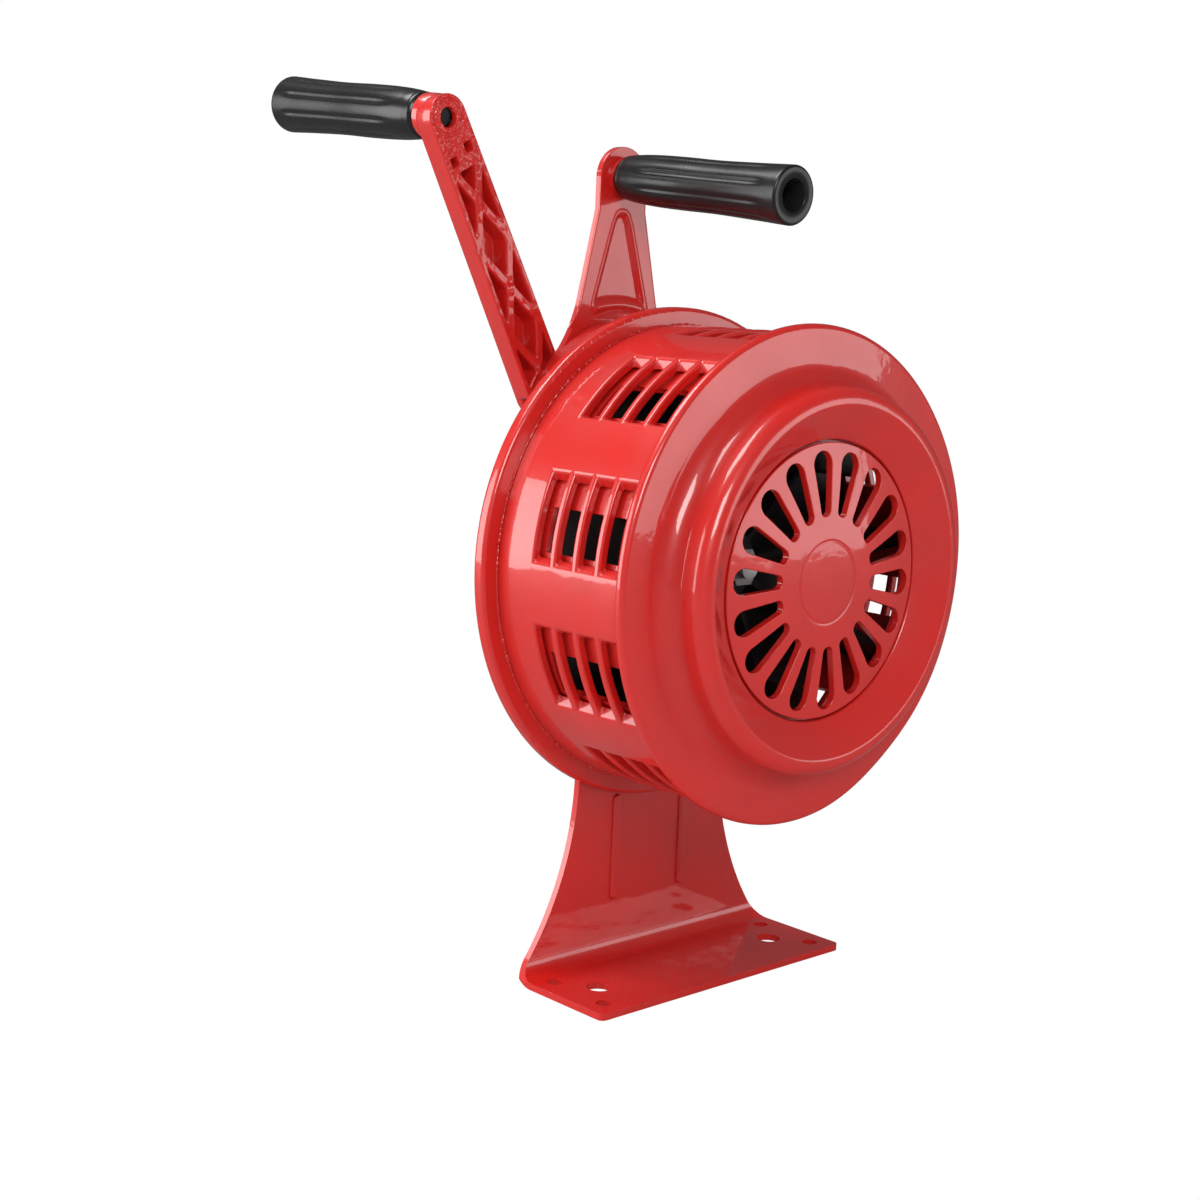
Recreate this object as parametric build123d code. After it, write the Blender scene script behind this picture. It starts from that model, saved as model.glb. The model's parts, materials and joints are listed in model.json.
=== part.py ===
from build123d import *
from math import acos, asin, atan2, cos, degrees, pi, radians, sin, sqrt, tan
import os

# Hand crank siren. Millimetres, +Z up, +X to the right, the mouth faces -Y and the crank is at +Y.
# Origin: centre of the four small base holes, on the underside of the base.

# Fits
fit = 0.05                 # radial, between fixed pieces
running = 0.05             # radial, between a shaft and its bush
end_float = 0.3            # axial, at a turning piece
moving_gap = 0.6           # gear tips to walls

# Stations along Y
mating_face = 29.7         # back of the rear plate, front of the bracket and the gear housing
rear_plate_thickness = 7.0
drum_length = 77.5
rim_thickness = 5.0
collar_depth = 19.7
housing_depth = 36.4
cover_thickness = 3.2
arm_gap = 1.7
arm_depth = 11.0
plate_front = mating_face - rear_plate_thickness
drum_front = plate_front - drum_length
rim_face = drum_front - rim_thickness
crest = rim_face - collar_depth
housing_back = mating_face + housing_depth
cover_back = housing_back + cover_thickness
arm_front = cover_back + arm_gap
arm_back = arm_front + arm_depth

# Drum, stator windows and rear plate
axis_height = 194.8
drum_radius = 106.0
drum_wall = 4.5
rear_plate_radius = 113.9
rear_plate_lip = 2.2
flange_width = 13.5
flange_thickness = 4.0
drum_screw_count = 6
window_count = 10
window_turn = 3.9          # degrees from +Z to the first window, towards -X
window_angle = 21.7        # opening at the outer surface
window_taper = 4.0         # each end wall slants in by this over the wall
window_inset = 3.8
slot_width = 10.0
slot_bar = 3.6
slot_count = 4

# Front cover and grille
rim_radius = 110.0
collar_radius = 84.5
collar_fillet = 10.0
crest_round = 6.0
crest_radius = 76.9
throat_radius = 61.5
throat_depth = 9.5
cover_wall = 3.0
spigot_depth = 2.5
corner_break = 0.4
rim_back_round = 2.0
rim_front_round = 2.4
crest_lip_round = 2.5
throat_round = 1.5
fold_round = 0.8
ledge_width = 2.9
ledge_thickness = 2.5
grille_gap = 1.0
grille_edge = 3.5
grille_dome = 3.0
grille_rim = 0.9
grille_slot_count = 18
grille_slot_turn = 4.0     # degrees from -X to the first slot, towards +Z
grille_slot_inner = 28.7
grille_slot_outer = 57.0
grille_slot_narrow = 5.5
grille_slot_wide = 10.4
grille_ring_radius = 18.0
grille_ring_width = 1.0
grille_ring_depth = 0.4

# Rotor
rotor_gap = 0.7
rotor_wall = 2.5
rotor_front_gap = 3.8
rotor_back = 5.0
rotor_disc = 3.0
port_angle = 11.0
port_turn = 2.6            # degrees from a window centre to the port centre at rest
port_front_margin = 3.0
port_back_margin = 4.0
vane_thickness = 2.5
vane_eye_radius = 62.0
vane_front_gap = 5.0
impeller_disc = 2.0
hub_radius = 16.0
hub_front = -14.0
hub_back = 8.0
hub_nose_radius = 8.8
rib_height = 14.0
rivet_count = 5
rivet_circle = 42.0
rivet_radius = 2.5
rivet_head_radius = 4.5
rivet_head = 1.5

# Rotor shaft and its ball bearing
shaft_radius = 6.0
shaft_shoulder = 8.0
shaft_shoulder_width = 1.8
shaft_waist = 5.0
pinion_seat = 4.0
shaft_nut_reach = 13.0
bearing_radius = 16.0
bearing_width = 10.0
race_outer_inside = 13.4
race_inner_outside = 8.6
ball_radius = 2.38
ball_circle = 11.0
ball_count = 8
ball_play = 0.04
cage_band = 1.6
cage_width = 6.8
bearing_shoulder = 3.0
bearing_shoulder_opening = 12.0
bearing_boss_radius = 21.0

# Keys and nuts
key_size = 4.0
rotor_key_length = 12.0
arm_key_size = 3.0
m10_flats = 16.0
m10_nut_height = 8.0
washer_thickness = 1.6
washer_radius = 10.0

# Gear train, module 1, stub teeth
module = 1.0
pressure_angle = 25.0
addendum = 0.8
dedendum = 1.05
backlash = 0.3
idler_2_direction = 96.19  # degrees from +X towards +Z, seen from the rotor shaft
idler_1_direction = 124.84 # seen from the second idler
crank_direction = 132.29   # seen from the first idler
crank_teeth = 44
pinion_teeth = 12
idler_1_teeth = 42
idler_2_teeth = 44
rotor_teeth = 16
gear_1_width = 4.5
gear_2_width = 5.5
gear_3_width = 7.0
gear_step = 3.0            # between the faces of neighbouring big gears
circlip_thickness = 1.0
circlip_width = 1.6
idler_shaft_radius = 3.0
bush_wall = 2.0
bush_flange = 1.5

# Gear housing and its cover, with the neck that carries the grip; its heights start at the round's centre
crank_rise = 16.5          # crank shaft above the centre of the round housing
housing_radius = 50.3
housing_wall = 3.0
housing_floor = 3.7
lobe_wall = 2.3
lobe_roof = 2.5
rotor_lobe_radius = 21.0
screw_boss_radius = 4.3
cover_screw_angles = (95, 40, -12, 208)
housing_screw_angles = (20, 125, 215, -35)
housing_screw_circle = 40.0
neck_half_width = 14.75
neck_straight_top = 115.5
neck_straight_bottom = 101.0
neck_flare_x = 24.0
neck_flare_z = 60.0
neck_foot_x = 35.0
panel_top = 100.0
panel_bottom = 51.0
panel_corner = 2.0
panel_top_half = 4.8
panel_bottom_half = 17.5
panel_depth = 2.0
panel_rib_height = 0.8
panel_rib_radius = 57.0
panel_rib_width = 2.4

# Crank
crank_shaft_radius = 5.0
crank_hub_radius = 10.0
arm_length = 134.6
arm_lean = 28.1            # degrees from upright, towards -X
arm_foot_radius = 12.0
arm_head_radius = 10.2
arm_foot_disc = 3.0
arm_rim = 2.5
arm_pocket_depth = 8.0
arm_rib_width = 4.4
arm_rib_pitch = 41.5
arm_first_crossing = 12.0
arm_lattice_end = 110.5
arm_small_pocket = 4.0
arm_small_pocket_s = 117.5
arm_small_pocket_n = 5.0
arm_small_pocket_shift = 1.6
arm_washer_radius = 7.0
arm_screw_radius = 3.0
arm_screw_length = 12.0
arm_screw_head_radius = 5.0
arm_screw_head = 2.8
arm_screw_socket = 4.0
arm_boss_extra = 4.0
arm_boss_tilt_start = 5.0

# Grips
grip_length = 105.0
grip_tilt = 4.7            # degrees that both grips stand off square
grip_stations = ((4, 10.3), (20, 11.6), (38, 11.95), (60, 11.8), (82, 12.4), (103.8, 13.0))
grip_inner_end = 8.0
grip_rim = 1.2
grip_counterbore = 7.2
grip_counterbore_depth = 20.0
grip_flute_count = 9
grip_flute_radius = 6.0
grip_flute_depth = 0.45
bolt_radius = 4.0
bolt_head_radius = 6.5
bolt_head_height = 8.0
bolt_socket_flats = 6.0
bolt_socket_depth = 4.0
bolt_end_recess = 3.0
carry_rise = 116.3         # above the housing's centre
carry_pad = 2.0
carry_pad_radius = 9.0

# Base bracket
base_half_width = 79.3
base_front = -26.5
bracket_thickness = 3.2
bend_radius = 8.0
base_corner = 3.0
upright_half_width = 46.5
upright_drop = 26.8        # from the drum axis to the upright's top
flare_start = 95.0
flare_radius = 145.0
small_hole_radius = 3.6
small_hole_x = 68.95
small_hole_y = 16.35
big_hole_radius = 5.75
big_hole_x = 56.8
bead_x = 22.0
bead_width = 5.0
bead_height = 1.5
bead_bottom = 30.0
bracket_bolt_x = 33.0
bracket_bolt_drops = (79.8, 44.8)
m6_radius = 3.0
m6_flats = 10.0
m6_head = 4.0
bolt_end_cover = 1.5       # metal left in front of the bracket bolts
bolt_end_gap = 0.3

# Countersunk screws
drum_screw_radius = 2.5
drum_screw_length = 10.5
housing_screw_radius = 2.5
cover_screw_radius = 2.0
cover_screw_length = 12.0
screw_end_gap = 0.4

# Worked out
inner_radius = drum_radius - drum_wall
rotor_radius = inner_radius - rotor_gap
rotor_front = drum_front + rotor_front_gap
hub_nose_end = mating_face - bearing_width
floor_top = mating_face + housing_floor
gear_1_front = floor_top + 0.5
gear_2_front = gear_1_front + gear_1_width + gear_step + 1.1
gear_3_front = gear_2_front + gear_2_width + gear_step
shaft_front_end = mating_face + 0.2
shaft_back_end = cover_back - 0.2
hub_bore_start = gear_2_front + gear_2_width + moving_gap
crank_hub_end = arm_front - moving_gap
housing_screw_length = rear_plate_thickness + housing_floor - screw_end_gap
upright_top = axis_height - upright_drop


def around(centre, radius, angle):
    """Point at an angle from +X towards +Z."""
    return (centre[0] + radius * cos(radians(angle)), centre[1] + radius * sin(radians(angle)))


def heading(start, end):
    return atan2(end[1] - start[1], end[0] - start[0])


def pitch_radius(teeth):
    return module * teeth / 2


def tip_radius(teeth):
    return pitch_radius(teeth) + addendum


rotor_at = (0.0, axis_height)
idler_2_at = around(rotor_at, pitch_radius(idler_2_teeth + rotor_teeth), idler_2_direction)
idler_1_at = around(idler_2_at, pitch_radius(idler_1_teeth + pinion_teeth), idler_1_direction)
crank_at = around(idler_1_at, pitch_radius(crank_teeth + pinion_teeth), crank_direction)
crank_x, crank_z = crank_at
housing_height = crank_z - crank_rise
carry_height = housing_height + carry_rise
crank_heading = heading(crank_at, idler_1_at)
idler_1_heading = heading(idler_1_at, idler_2_at)
idler_2_heading = heading(idler_2_at, rotor_at)
crank_lobe = tip_radius(crank_teeth) + moving_gap + lobe_wall
idler_lobe = tip_radius(idler_2_teeth) + moving_gap + housing_wall
grip_x = crank_x - arm_length * sin(radians(arm_lean))
grip_z = crank_z + arm_length * cos(radians(arm_lean))
tilt_cos = cos(radians(grip_tilt))
tilt_sin = sin(radians(grip_tilt))
crank_grip_axis = (0, tilt_cos, tilt_sin)
carry_grip_axis = (0, -tilt_cos, -tilt_sin)


# Builders
def rod(radius, start, end, at=rotor_at):
    """Cylinder along Y."""
    return Solid.make_cylinder(radius, end - start, Plane(origin=(at[0], start, at[1]), z_dir=(0, 1, 0)))


def tube(outer, inner, start, end, at=rotor_at):
    return rod(outer, start, end, at) - rod(inner, start, end, at)


def slab(sketch, start, end):
    """Sketch in X and Z, as thick as from start to end along Y."""
    return extrude(Plane.XZ.offset(-end) * sketch, end - start, dir=(0, -1, 0))


def turned(outline, at=rotor_at):
    """Face in radius and Y, turned about a line along Y."""
    return revolve(Plane(origin=(at[0], 0, at[1])) * outline, Axis((at[0], 0, at[1]), (0, 1, 0)))


def rounded_outline(corners):
    """Face from corners given as radius, Y and corner rounding."""
    points = [(corner[0], corner[1]) for corner in corners]
    rounds = [corner[2] for corner in corners]
    return make_face(FilletPolyline(*points, radius=rounds, close=True))


def hexagon(flats, start, end, at):
    shape = Pos(at[0], at[1]) * RegularPolygon(flats / 2, 6, major_radius=False)
    return slab(shape, start, end)


def countersunk(radius, length, face, inward, at, grow=0.0):
    """Screw body from its flush head inwards; inward is +1 or -1 along Y."""
    seat = Plane(origin=(at[0], face, at[1]), z_dir=(0, inward, 0))
    head = Solid.make_cone(2 * radius + grow, radius + grow, radius, seat)
    return head + Solid.make_cylinder(radius + grow, length + grow, seat)


def countersunk_screw(radius, length, face, inward, at):
    seat = Plane(origin=(at[0], face, at[1]), z_dir=(0, inward, 0))
    socket = extrude(seat * RegularPolygon(0.65 * radius, 6, major_radius=False), 0.8 * radius)
    return countersunk(radius, length, face, inward, at) - socket


def involute(angle):
    return tan(angle) - angle


def gear(teeth, bore, start, end, at, tooth_heading):
    """Spur gear with involute flanks; one tooth points along tooth_heading, in radians from +X."""
    pitch = pitch_radius(teeth)
    base = pitch * cos(radians(pressure_angle))
    root = pitch - dedendum
    lowest = max(base, root)
    flank_steps = 4
    half_pitch = pi / 2 / teeth - backlash / 4 / pitch + involute(radians(pressure_angle))
    radii = [lowest + (tip_radius(teeth) - lowest) * step / flank_steps for step in range(flank_steps + 1)]
    widths = [half_pitch - involute(acos(min(1.0, base / radius))) for radius in radii]
    flank = [(root, widths[0])] * (root < lowest) + list(zip(radii, widths))
    points = []
    for tooth in range(teeth):
        heading = tooth_heading + 2 * pi * tooth / teeth
        for radius, width in flank:
            points.append((radius * cos(heading - width), radius * sin(heading - width)))
        for radius, width in reversed(flank):
            points.append((radius * cos(heading + width), radius * sin(heading + width)))
    outline = make_face(Polyline(*points, close=True)) - Circle(bore + fit)
    return slab(Pos(at[0], at[1]) * outline, start, end)


# Base bracket
def upright_edge():
    """Half width of the upright where its flared side meets the base."""
    reach = flare_radius - (base_half_width - upright_half_width)
    return flare_start - sqrt(flare_radius**2 - reach**2)


def upright_outline():
    foot = upright_edge()
    middle = (foot + flare_start) / 2
    middle_x = upright_half_width + flare_radius - sqrt(flare_radius**2 - (flare_start - middle) ** 2)
    right = Line((0, upright_top), (upright_half_width, upright_top))
    right += Line((upright_half_width, upright_top), (upright_half_width, flare_start))
    right += ThreePointArc(
        (upright_half_width, flare_start), (middle_x, middle), (base_half_width, foot)
    )
    right += Line((base_half_width, foot), (base_half_width, -1))
    right += Line((base_half_width, -1), (0, -1))
    half = make_face(right + Line((0, -1), (0, upright_top)))
    return half + mirror(half, Plane.YZ)


def base_bracket():
    """One bent plate: base, bend and flared upright, with two pressed beads."""
    back = mating_face + bracket_thickness
    section = FilletPolyline(
        (base_front, bracket_thickness / 2),
        (mating_face + bracket_thickness / 2, bracket_thickness / 2),
        (mating_face + bracket_thickness / 2, upright_top),
        radius=bend_radius + bracket_thickness / 2,
    )
    side = Plane.YZ.offset(-base_half_width)
    strip = trace(section, bracket_thickness)
    plate = extrude(side * strip, 2 * base_half_width)
    plate = plate & slab(upright_outline(), base_front - 1, back + 1)
    corners = plate.edges().filter_by(Axis.Z).group_by(Axis.Y)[0]
    plate = fillet(corners, base_corner)
    plate = plate + beads()
    for x in (-small_hole_x, small_hole_x):
        for y in (-small_hole_y, small_hole_y):
            plate -= Pos(x, y, bracket_thickness / 2) * Cylinder(small_hole_radius, 2 * bracket_thickness)
    for x in (-big_hole_x, big_hole_x):
        plate -= Pos(x, 0, bracket_thickness / 2) * Cylinder(big_hole_radius, 2 * bracket_thickness)
    for at in bracket_bolt_places():
        plate -= rod(m6_radius + 6 * fit, mating_face - 1, back + 1, at)
    return plate


def beads():
    """Two round-ended ridges on the front of the upright, up to just under the rear plate."""
    shape = Sketch()
    top = axis_height - sqrt(rear_plate_radius**2 - (bead_x - bead_width / 2) ** 2) - 1
    length = top - bead_bottom
    for x in (-bead_x, bead_x):
        shape += Pos(x, bead_bottom + length / 2) * SlotOverall(length, bead_width, rotation=90)
    ridge = slab(shape, mating_face - bead_height, mating_face + 0.5)
    front_edges = ridge.edges().group_by(Axis.Y)[0]
    return fillet(front_edges, 0.9 * bead_height)


def bracket_bolt_places():
    return [(x, axis_height - drop) for drop in bracket_bolt_drops for x in (-bracket_bolt_x, bracket_bolt_x)]


def bracket_bolts():
    back = mating_face + bracket_thickness + washer_thickness
    bolts = []
    for at in bracket_bolt_places():
        shank = rod(m6_radius, plate_front + bolt_end_cover + bolt_end_gap, back, at)
        bolts.append(shank + hexagon(m6_flats, back, back + m6_head, at))
    return Compound(bolts)


def bracket_washers():
    back = mating_face + bracket_thickness
    return Compound(
        [
            tube(2 * m6_radius, m6_radius + 4 * fit, back, back + washer_thickness, at)
            for at in bracket_bolt_places()
        ]
    )


# Drum
def drum_screw_places():
    circle = inner_radius - flange_width / 2
    return [around(rotor_at, circle, 30 + 360 * n / drum_screw_count) for n in range(drum_screw_count)]


def housing_screw_places():
    centre = (0, housing_height)
    return [around(centre, housing_screw_circle, angle) for angle in housing_screw_angles]


def rear_plate():
    """Round plate behind the drum, with the bearing boss in front and its pocket open at the back."""
    plate = rod(rear_plate_radius, plate_front, mating_face)
    plate = fillet(plate.edges(), rear_plate_lip)
    boss_front = mating_face - bearing_width - bearing_shoulder
    plate = plate + rod(bearing_boss_radius, boss_front, plate_front + 1)
    plate -= rod(bearing_shoulder_opening, boss_front - 1, mating_face + 1)
    plate -= rod(bearing_radius + fit, mating_face - bearing_width, mating_face + 1)
    for at in bracket_bolt_places():
        plate -= rod(m6_radius + fit, plate_front + bolt_end_cover, mating_face + 1, at)
    for at in drum_screw_places():
        plate -= countersunk(drum_screw_radius, drum_screw_length, mating_face, -1, at, fit)
    for at in housing_screw_places():
        plate -= countersunk(housing_screw_radius, housing_screw_length, plate_front, 1, at, fit)
    return plate


def window_cutters():
    """Wedges through the drum wall: each window is a row of slots along Y."""
    outer_half = radians(window_angle) / 2
    inner_half = asin(sin(outer_half) * drum_radius / inner_radius) - window_taper / inner_radius
    slope = (outer_half - inner_half) / drum_wall
    corners = []
    for radius, half in (
        (drum_radius + 1, outer_half + slope),
        (inner_radius - 1, inner_half - slope),
    ):
        corners.append((radius * sin(half), radius * cos(half)))
    (far_x, far_z), (near_x, near_z) = corners
    wedge = Polygon((far_x, far_z), (near_x, near_z), (-near_x, near_z), (-far_x, far_z), align=None)
    cutters = []
    for window in range(window_count):
        turn = window_turn + 360 * window / window_count
        placed = Pos(0, axis_height) * Rot(0, 0, turn) * wedge
        for row in range(slot_count):
            start = drum_front + window_inset + row * (slot_width + slot_bar)
            cutters.append(slab(placed, start, start + slot_width))
    return cutters


def stator_drum():
    """Ported drum wall with an inward flange at the back for its screws."""
    shell = tube(drum_radius, inner_radius, drum_front, plate_front)
    flange = tube(inner_radius + 1, inner_radius - flange_width, plate_front - flange_thickness, plate_front)
    drum = shell + flange
    drum = drum - window_cutters()
    for at in drum_screw_places():
        drum -= rod(drum_screw_radius + fit, plate_front - flange_thickness - 1, plate_front + 1, at)
    return drum


def drum_screws():
    return Compound(
        [
            countersunk_screw(drum_screw_radius, drum_screw_length, mating_face, -1, at)
            for at in drum_screw_places()
        ]
    )


# Front cover and grille
def front_cover():
    """Spun cover: rim, flat disc, collar with a rounded crest, and a funnel in to the throat."""
    spigot = inner_radius - 4 * fit
    throat_front = crest + throat_depth
    ledge_front = throat_front + grille_edge
    ledge_back = ledge_front + ledge_thickness
    outline = (
        (spigot, drum_front + spigot_depth, corner_break),
        (spigot, drum_front, 2 * fit),
        (rim_radius, drum_front, rim_back_round),
        (rim_radius, rim_face, rim_front_round),
        (collar_radius, rim_face, collar_fillet),
        (collar_radius, crest, crest_round),
        (crest_radius, crest, crest_lip_round),
        (throat_radius, throat_front, throat_round),
        (throat_radius, ledge_front, corner_break),
        (throat_radius - ledge_width, ledge_front, corner_break),
        (throat_radius - ledge_width, ledge_back, corner_break),
        (throat_radius + cover_wall, ledge_back, fold_round),
        (throat_radius + cover_wall, throat_front + 0.5 * cover_wall, fold_round),
        (crest_radius + corner_break, crest + cover_wall, throat_round),
        (collar_radius - cover_wall, crest + cover_wall, crest_round - cover_wall - 0.2),
        (collar_radius - cover_wall, rim_face + cover_wall, collar_fillet + cover_wall),
        (spigot - 2, rim_face + cover_wall, corner_break),
        (spigot - 2, drum_front + spigot_depth, corner_break),
    )
    return turned(rounded_outline(outline))


def inlet_grille():
    """Slightly domed disc with tapered radial slots, in the throat of the front cover."""
    radius = throat_radius - grille_gap
    front = crest + throat_depth
    back = front + grille_edge
    dome_radius = (radius**2 + grille_dome**2) / (2 * grille_dome)
    half_dome = sqrt(dome_radius**2 - (radius / 2) ** 2) - (dome_radius - grille_dome)
    rim = radius - grille_rim
    front_curve = ThreePointArc((0, front - grille_dome), (radius / 2, front - half_dome), (rim, front))
    back_curve = ThreePointArc((0, back - grille_dome), (radius / 2, back - half_dome), (rim, back))
    profile = front_curve + RadiusArc((rim, front), (radius, front + grille_rim), grille_rim)
    profile += Line((radius, front + grille_rim), (radius, back)) + Line((radius, back), (rim, back))
    profile += back_curve
    profile += Line((0, back - grille_dome), (0, front - grille_dome))
    disc = turned(make_face(profile))
    narrow = grille_slot_narrow / 2
    wide = grille_slot_wide / 2
    slot = Pos(-grille_slot_inner - narrow, 0) * Circle(narrow)
    slot += Pos(-grille_slot_outer + wide, 0) * Circle(wide)
    slot = make_hull(slot.edges())
    slots = Sketch()
    for number in range(grille_slot_count):
        turn = -grille_slot_turn - 360 * number / grille_slot_count
        slots += Pos(0, axis_height) * Rot(0, 0, turn) * slot
    disc -= slab(slots, front - grille_dome - 1, back + 1)
    ring_half = grille_ring_width / 2
    ring_front = front - grille_dome
    outer = grille_ring_radius + ring_half
    inner = grille_ring_radius - ring_half
    ring_dip = dome_radius - sqrt(dome_radius**2 - grille_ring_radius**2)
    disc -= tube(outer, inner, ring_front - 1, ring_front + ring_dip + grille_ring_depth)
    return disc


# Rotor
def ring_sector(angle, centre_angle):
    """Wedge of the rotor wall, centred at an angle from +Z towards -X."""
    half = radians(angle) / 2
    far = rotor_radius + 2
    near = rotor_radius - rotor_wall - 2
    wedge = Polygon(
        (far * sin(half), far * cos(half)),
        (near * sin(half), near * cos(half)),
        (-near * sin(half), near * cos(half)),
        (-far * sin(half), far * cos(half)),
        align=None,
    )
    return Pos(0, axis_height) * Rot(0, 0, centre_angle) * wedge


def rotor_shell():
    """Ported cup that turns just inside the drum."""
    disc_front = rotor_back - rotor_disc
    wall = tube(rotor_radius, rotor_radius - rotor_wall, rotor_front, rotor_back)
    disc = tube(rotor_radius - 1, hub_radius + 4 * fit, disc_front, rotor_back)
    shell = wall + disc
    ports = []
    for port in range(window_count):
        centre = window_turn + port_turn + 360 * port / window_count
        sector = ring_sector(port_angle, centre)
        ports.append(slab(sector, rotor_front + port_front_margin, disc_front - port_back_margin))
    shell = shell - ports
    for at in rivet_places():
        shell -= rod(rivet_radius + fit, disc_front - 1, rotor_back + 1, at)
    return shell


def rivet_places():
    return [around(rotor_at, rivet_circle, 90 + 360 * n / rivet_count) for n in range(rivet_count)]


def impeller():
    """Open vaned fan on a hub, riveted inside the rotor shell."""
    disc_back = rotor_back - rotor_disc
    disc_front = disc_back - impeller_disc
    tip = rotor_radius - rotor_wall - 8 * fit
    body = rod(hub_radius, hub_front, hub_back) + rod(hub_nose_radius, hub_back - 1, hub_nose_end - fit)
    body += rod(tip, disc_front, disc_back)
    tall = Pos((vane_eye_radius + tip) / 2, 0) * Rectangle(tip - vane_eye_radius, vane_thickness)
    low_start = hub_radius - 1
    low = Pos((low_start + vane_eye_radius) / 2, 0) * Rectangle(
        vane_eye_radius - low_start + 1, vane_thickness
    )
    for vane in range(window_count):
        turn = 90 + window_turn + port_turn + 360 * (vane + 0.5) / window_count
        place = Pos(0, axis_height) * Rot(0, 0, turn)
        body += slab(place * tall, rotor_front + vane_front_gap, disc_front + 0.5)
        body += slab(place * low, disc_front - rib_height, disc_front + 0.5)
    body -= rod(shaft_radius + fit, hub_front - 1, hub_nose_end + 1)
    body -= rotor_key_box(fit)
    for at in rivet_places():
        body -= rod(rivet_radius + fit, disc_front - rib_height, disc_back + 1, at)
        body -= rod(2 * rivet_radius, disc_front - rib_height - 1, disc_front, at)
    return body


def rotor_rivets():
    disc_front = rotor_back - rotor_disc - impeller_disc
    rivets = []
    for at in rivet_places():
        shank = rod(rivet_radius, disc_front, rotor_back, at)
        heads = rod(rivet_head_radius, disc_front - rivet_head, disc_front, at)
        heads += rod(rivet_head_radius, rotor_back, rotor_back + rivet_head, at)
        rivets.append(shank + heads)
    return Compound(rivets)


def rotor_key_box(grow=0.0):
    """Key on top of the rotor shaft, half in the shaft and half in the hub."""
    middle = hub_front + 2 + rotor_key_length / 2
    box = Box(key_size + 2 * grow, rotor_key_length + 2 * grow, key_size + 2 * grow)
    return Pos(0, middle, axis_height + shaft_radius) * box


def rotor_shaft():
    """Stepped shaft: nut thread, hub seat, bearing seat, shoulder, waist and pinion seat."""
    body = rod(shaft_radius - 1, hub_front - shaft_nut_reach, hub_front + 1)
    body += rod(shaft_radius, hub_front + 0.5, mating_face + 0.5)
    shoulder_end = mating_face + shaft_shoulder_width
    body += rod(shaft_shoulder, mating_face + fit, shoulder_end)
    body += rod(shaft_waist, shoulder_end - 0.5, gear_3_front - fit)
    body += rod(pinion_seat, gear_3_front - 0.5, shaft_back_end)
    body -= rotor_key_box(fit)
    body -= circlip_groove(pinion_seat, gear_3_front + gear_3_width + fit, rotor_at)
    return body


def circlip_groove(radius, start, at):
    return tube(radius + 1, radius - 0.5, start, start + circlip_thickness + 2 * fit, at)


def circlip(radius, start, at):
    """Open spring ring in a shaft groove."""
    ring = Circle(radius - 0.5 + circlip_width + 0.5) - Circle(radius - 0.45)
    ring -= Pos(0, -radius) * Rectangle(radius, 2 * radius)
    return slab(Pos(at[0], at[1]) * ring, start + fit, start + fit + circlip_thickness)


def rotor_washer():
    return tube(washer_radius, shaft_radius - 1 + 2 * fit, hub_front - washer_thickness, hub_front)


def hex_nut(flats, height, bore, start, at):
    nut = hexagon(flats, start, start + height, at) - rod(bore + fit, start - 1, start + height + 1, at)
    return nut & rod(0.57 * flats, start, start + height, at)


def rotor_nut():
    start = hub_front - washer_thickness - m10_nut_height
    return hex_nut(m10_flats, m10_nut_height, shaft_radius - 1, start, rotor_at)


# Ball bearing of the rotor shaft
def race_groove():
    middle = mating_face - bearing_width / 2
    seat = Plane(origin=(0, middle, axis_height), z_dir=(0, 1, 0))
    return Solid.make_torus(ball_circle, ball_radius + ball_play, seat)


def bearing_outer_race():
    return tube(bearing_radius, race_outer_inside, mating_face - bearing_width, mating_face) - race_groove()


def bearing_inner_race():
    race = tube(race_inner_outside, shaft_radius + fit, mating_face - bearing_width, mating_face)
    return race - race_groove()


def ball_places():
    return [around(rotor_at, ball_circle, 360 * n / ball_count) for n in range(ball_count)]


def bearing_balls():
    middle = mating_face - bearing_width / 2
    return Compound([Pos(at[0], middle, at[1]) * Sphere(ball_radius) for at in ball_places()])


def ball_cage():
    middle = mating_face - bearing_width / 2
    start = middle - cage_width / 2
    cage = tube(ball_circle + cage_band / 2, ball_circle - cage_band / 2, start, start + cage_width)
    for x, z in ball_places():
        outwards = (x, 0, z - axis_height)
        pocket = Plane(origin=(x / 2, middle, (z + axis_height) / 2), z_dir=outwards)
        cage -= Solid.make_cylinder(ball_radius + 2 * ball_play, ball_circle, pocket)
    return cage


# Gear train
def meshing_heading(line_heading, teeth):
    """Heading of a tooth that leaves a gap facing back along the line of centres."""
    return line_heading + pi + pi / teeth


def crank_gear():
    end = gear_1_front + gear_1_width
    return gear(crank_teeth, crank_shaft_radius, gear_1_front, end, crank_at, crank_heading)


def idler_1_pinion():
    tooth = meshing_heading(crank_heading, pinion_teeth)
    return gear(pinion_teeth, idler_shaft_radius, gear_1_front, gear_2_front, idler_1_at, tooth)


def idler_1_gear():
    end = gear_2_front + gear_2_width
    return gear(idler_1_teeth, idler_shaft_radius, gear_2_front, end, idler_1_at, idler_1_heading)


def idler_2_pinion():
    tooth = meshing_heading(idler_1_heading, pinion_teeth)
    return gear(pinion_teeth, idler_shaft_radius, gear_2_front, gear_3_front, idler_2_at, tooth)


def idler_2_gear():
    end = gear_3_front + gear_3_width
    return gear(idler_2_teeth, idler_shaft_radius, gear_3_front, end, idler_2_at, idler_2_heading)


def rotor_pinion():
    tooth = meshing_heading(idler_2_heading, rotor_teeth)
    end = gear_3_front + gear_3_width
    return gear(rotor_teeth, pinion_seat, gear_3_front, end, rotor_at, tooth)


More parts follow.
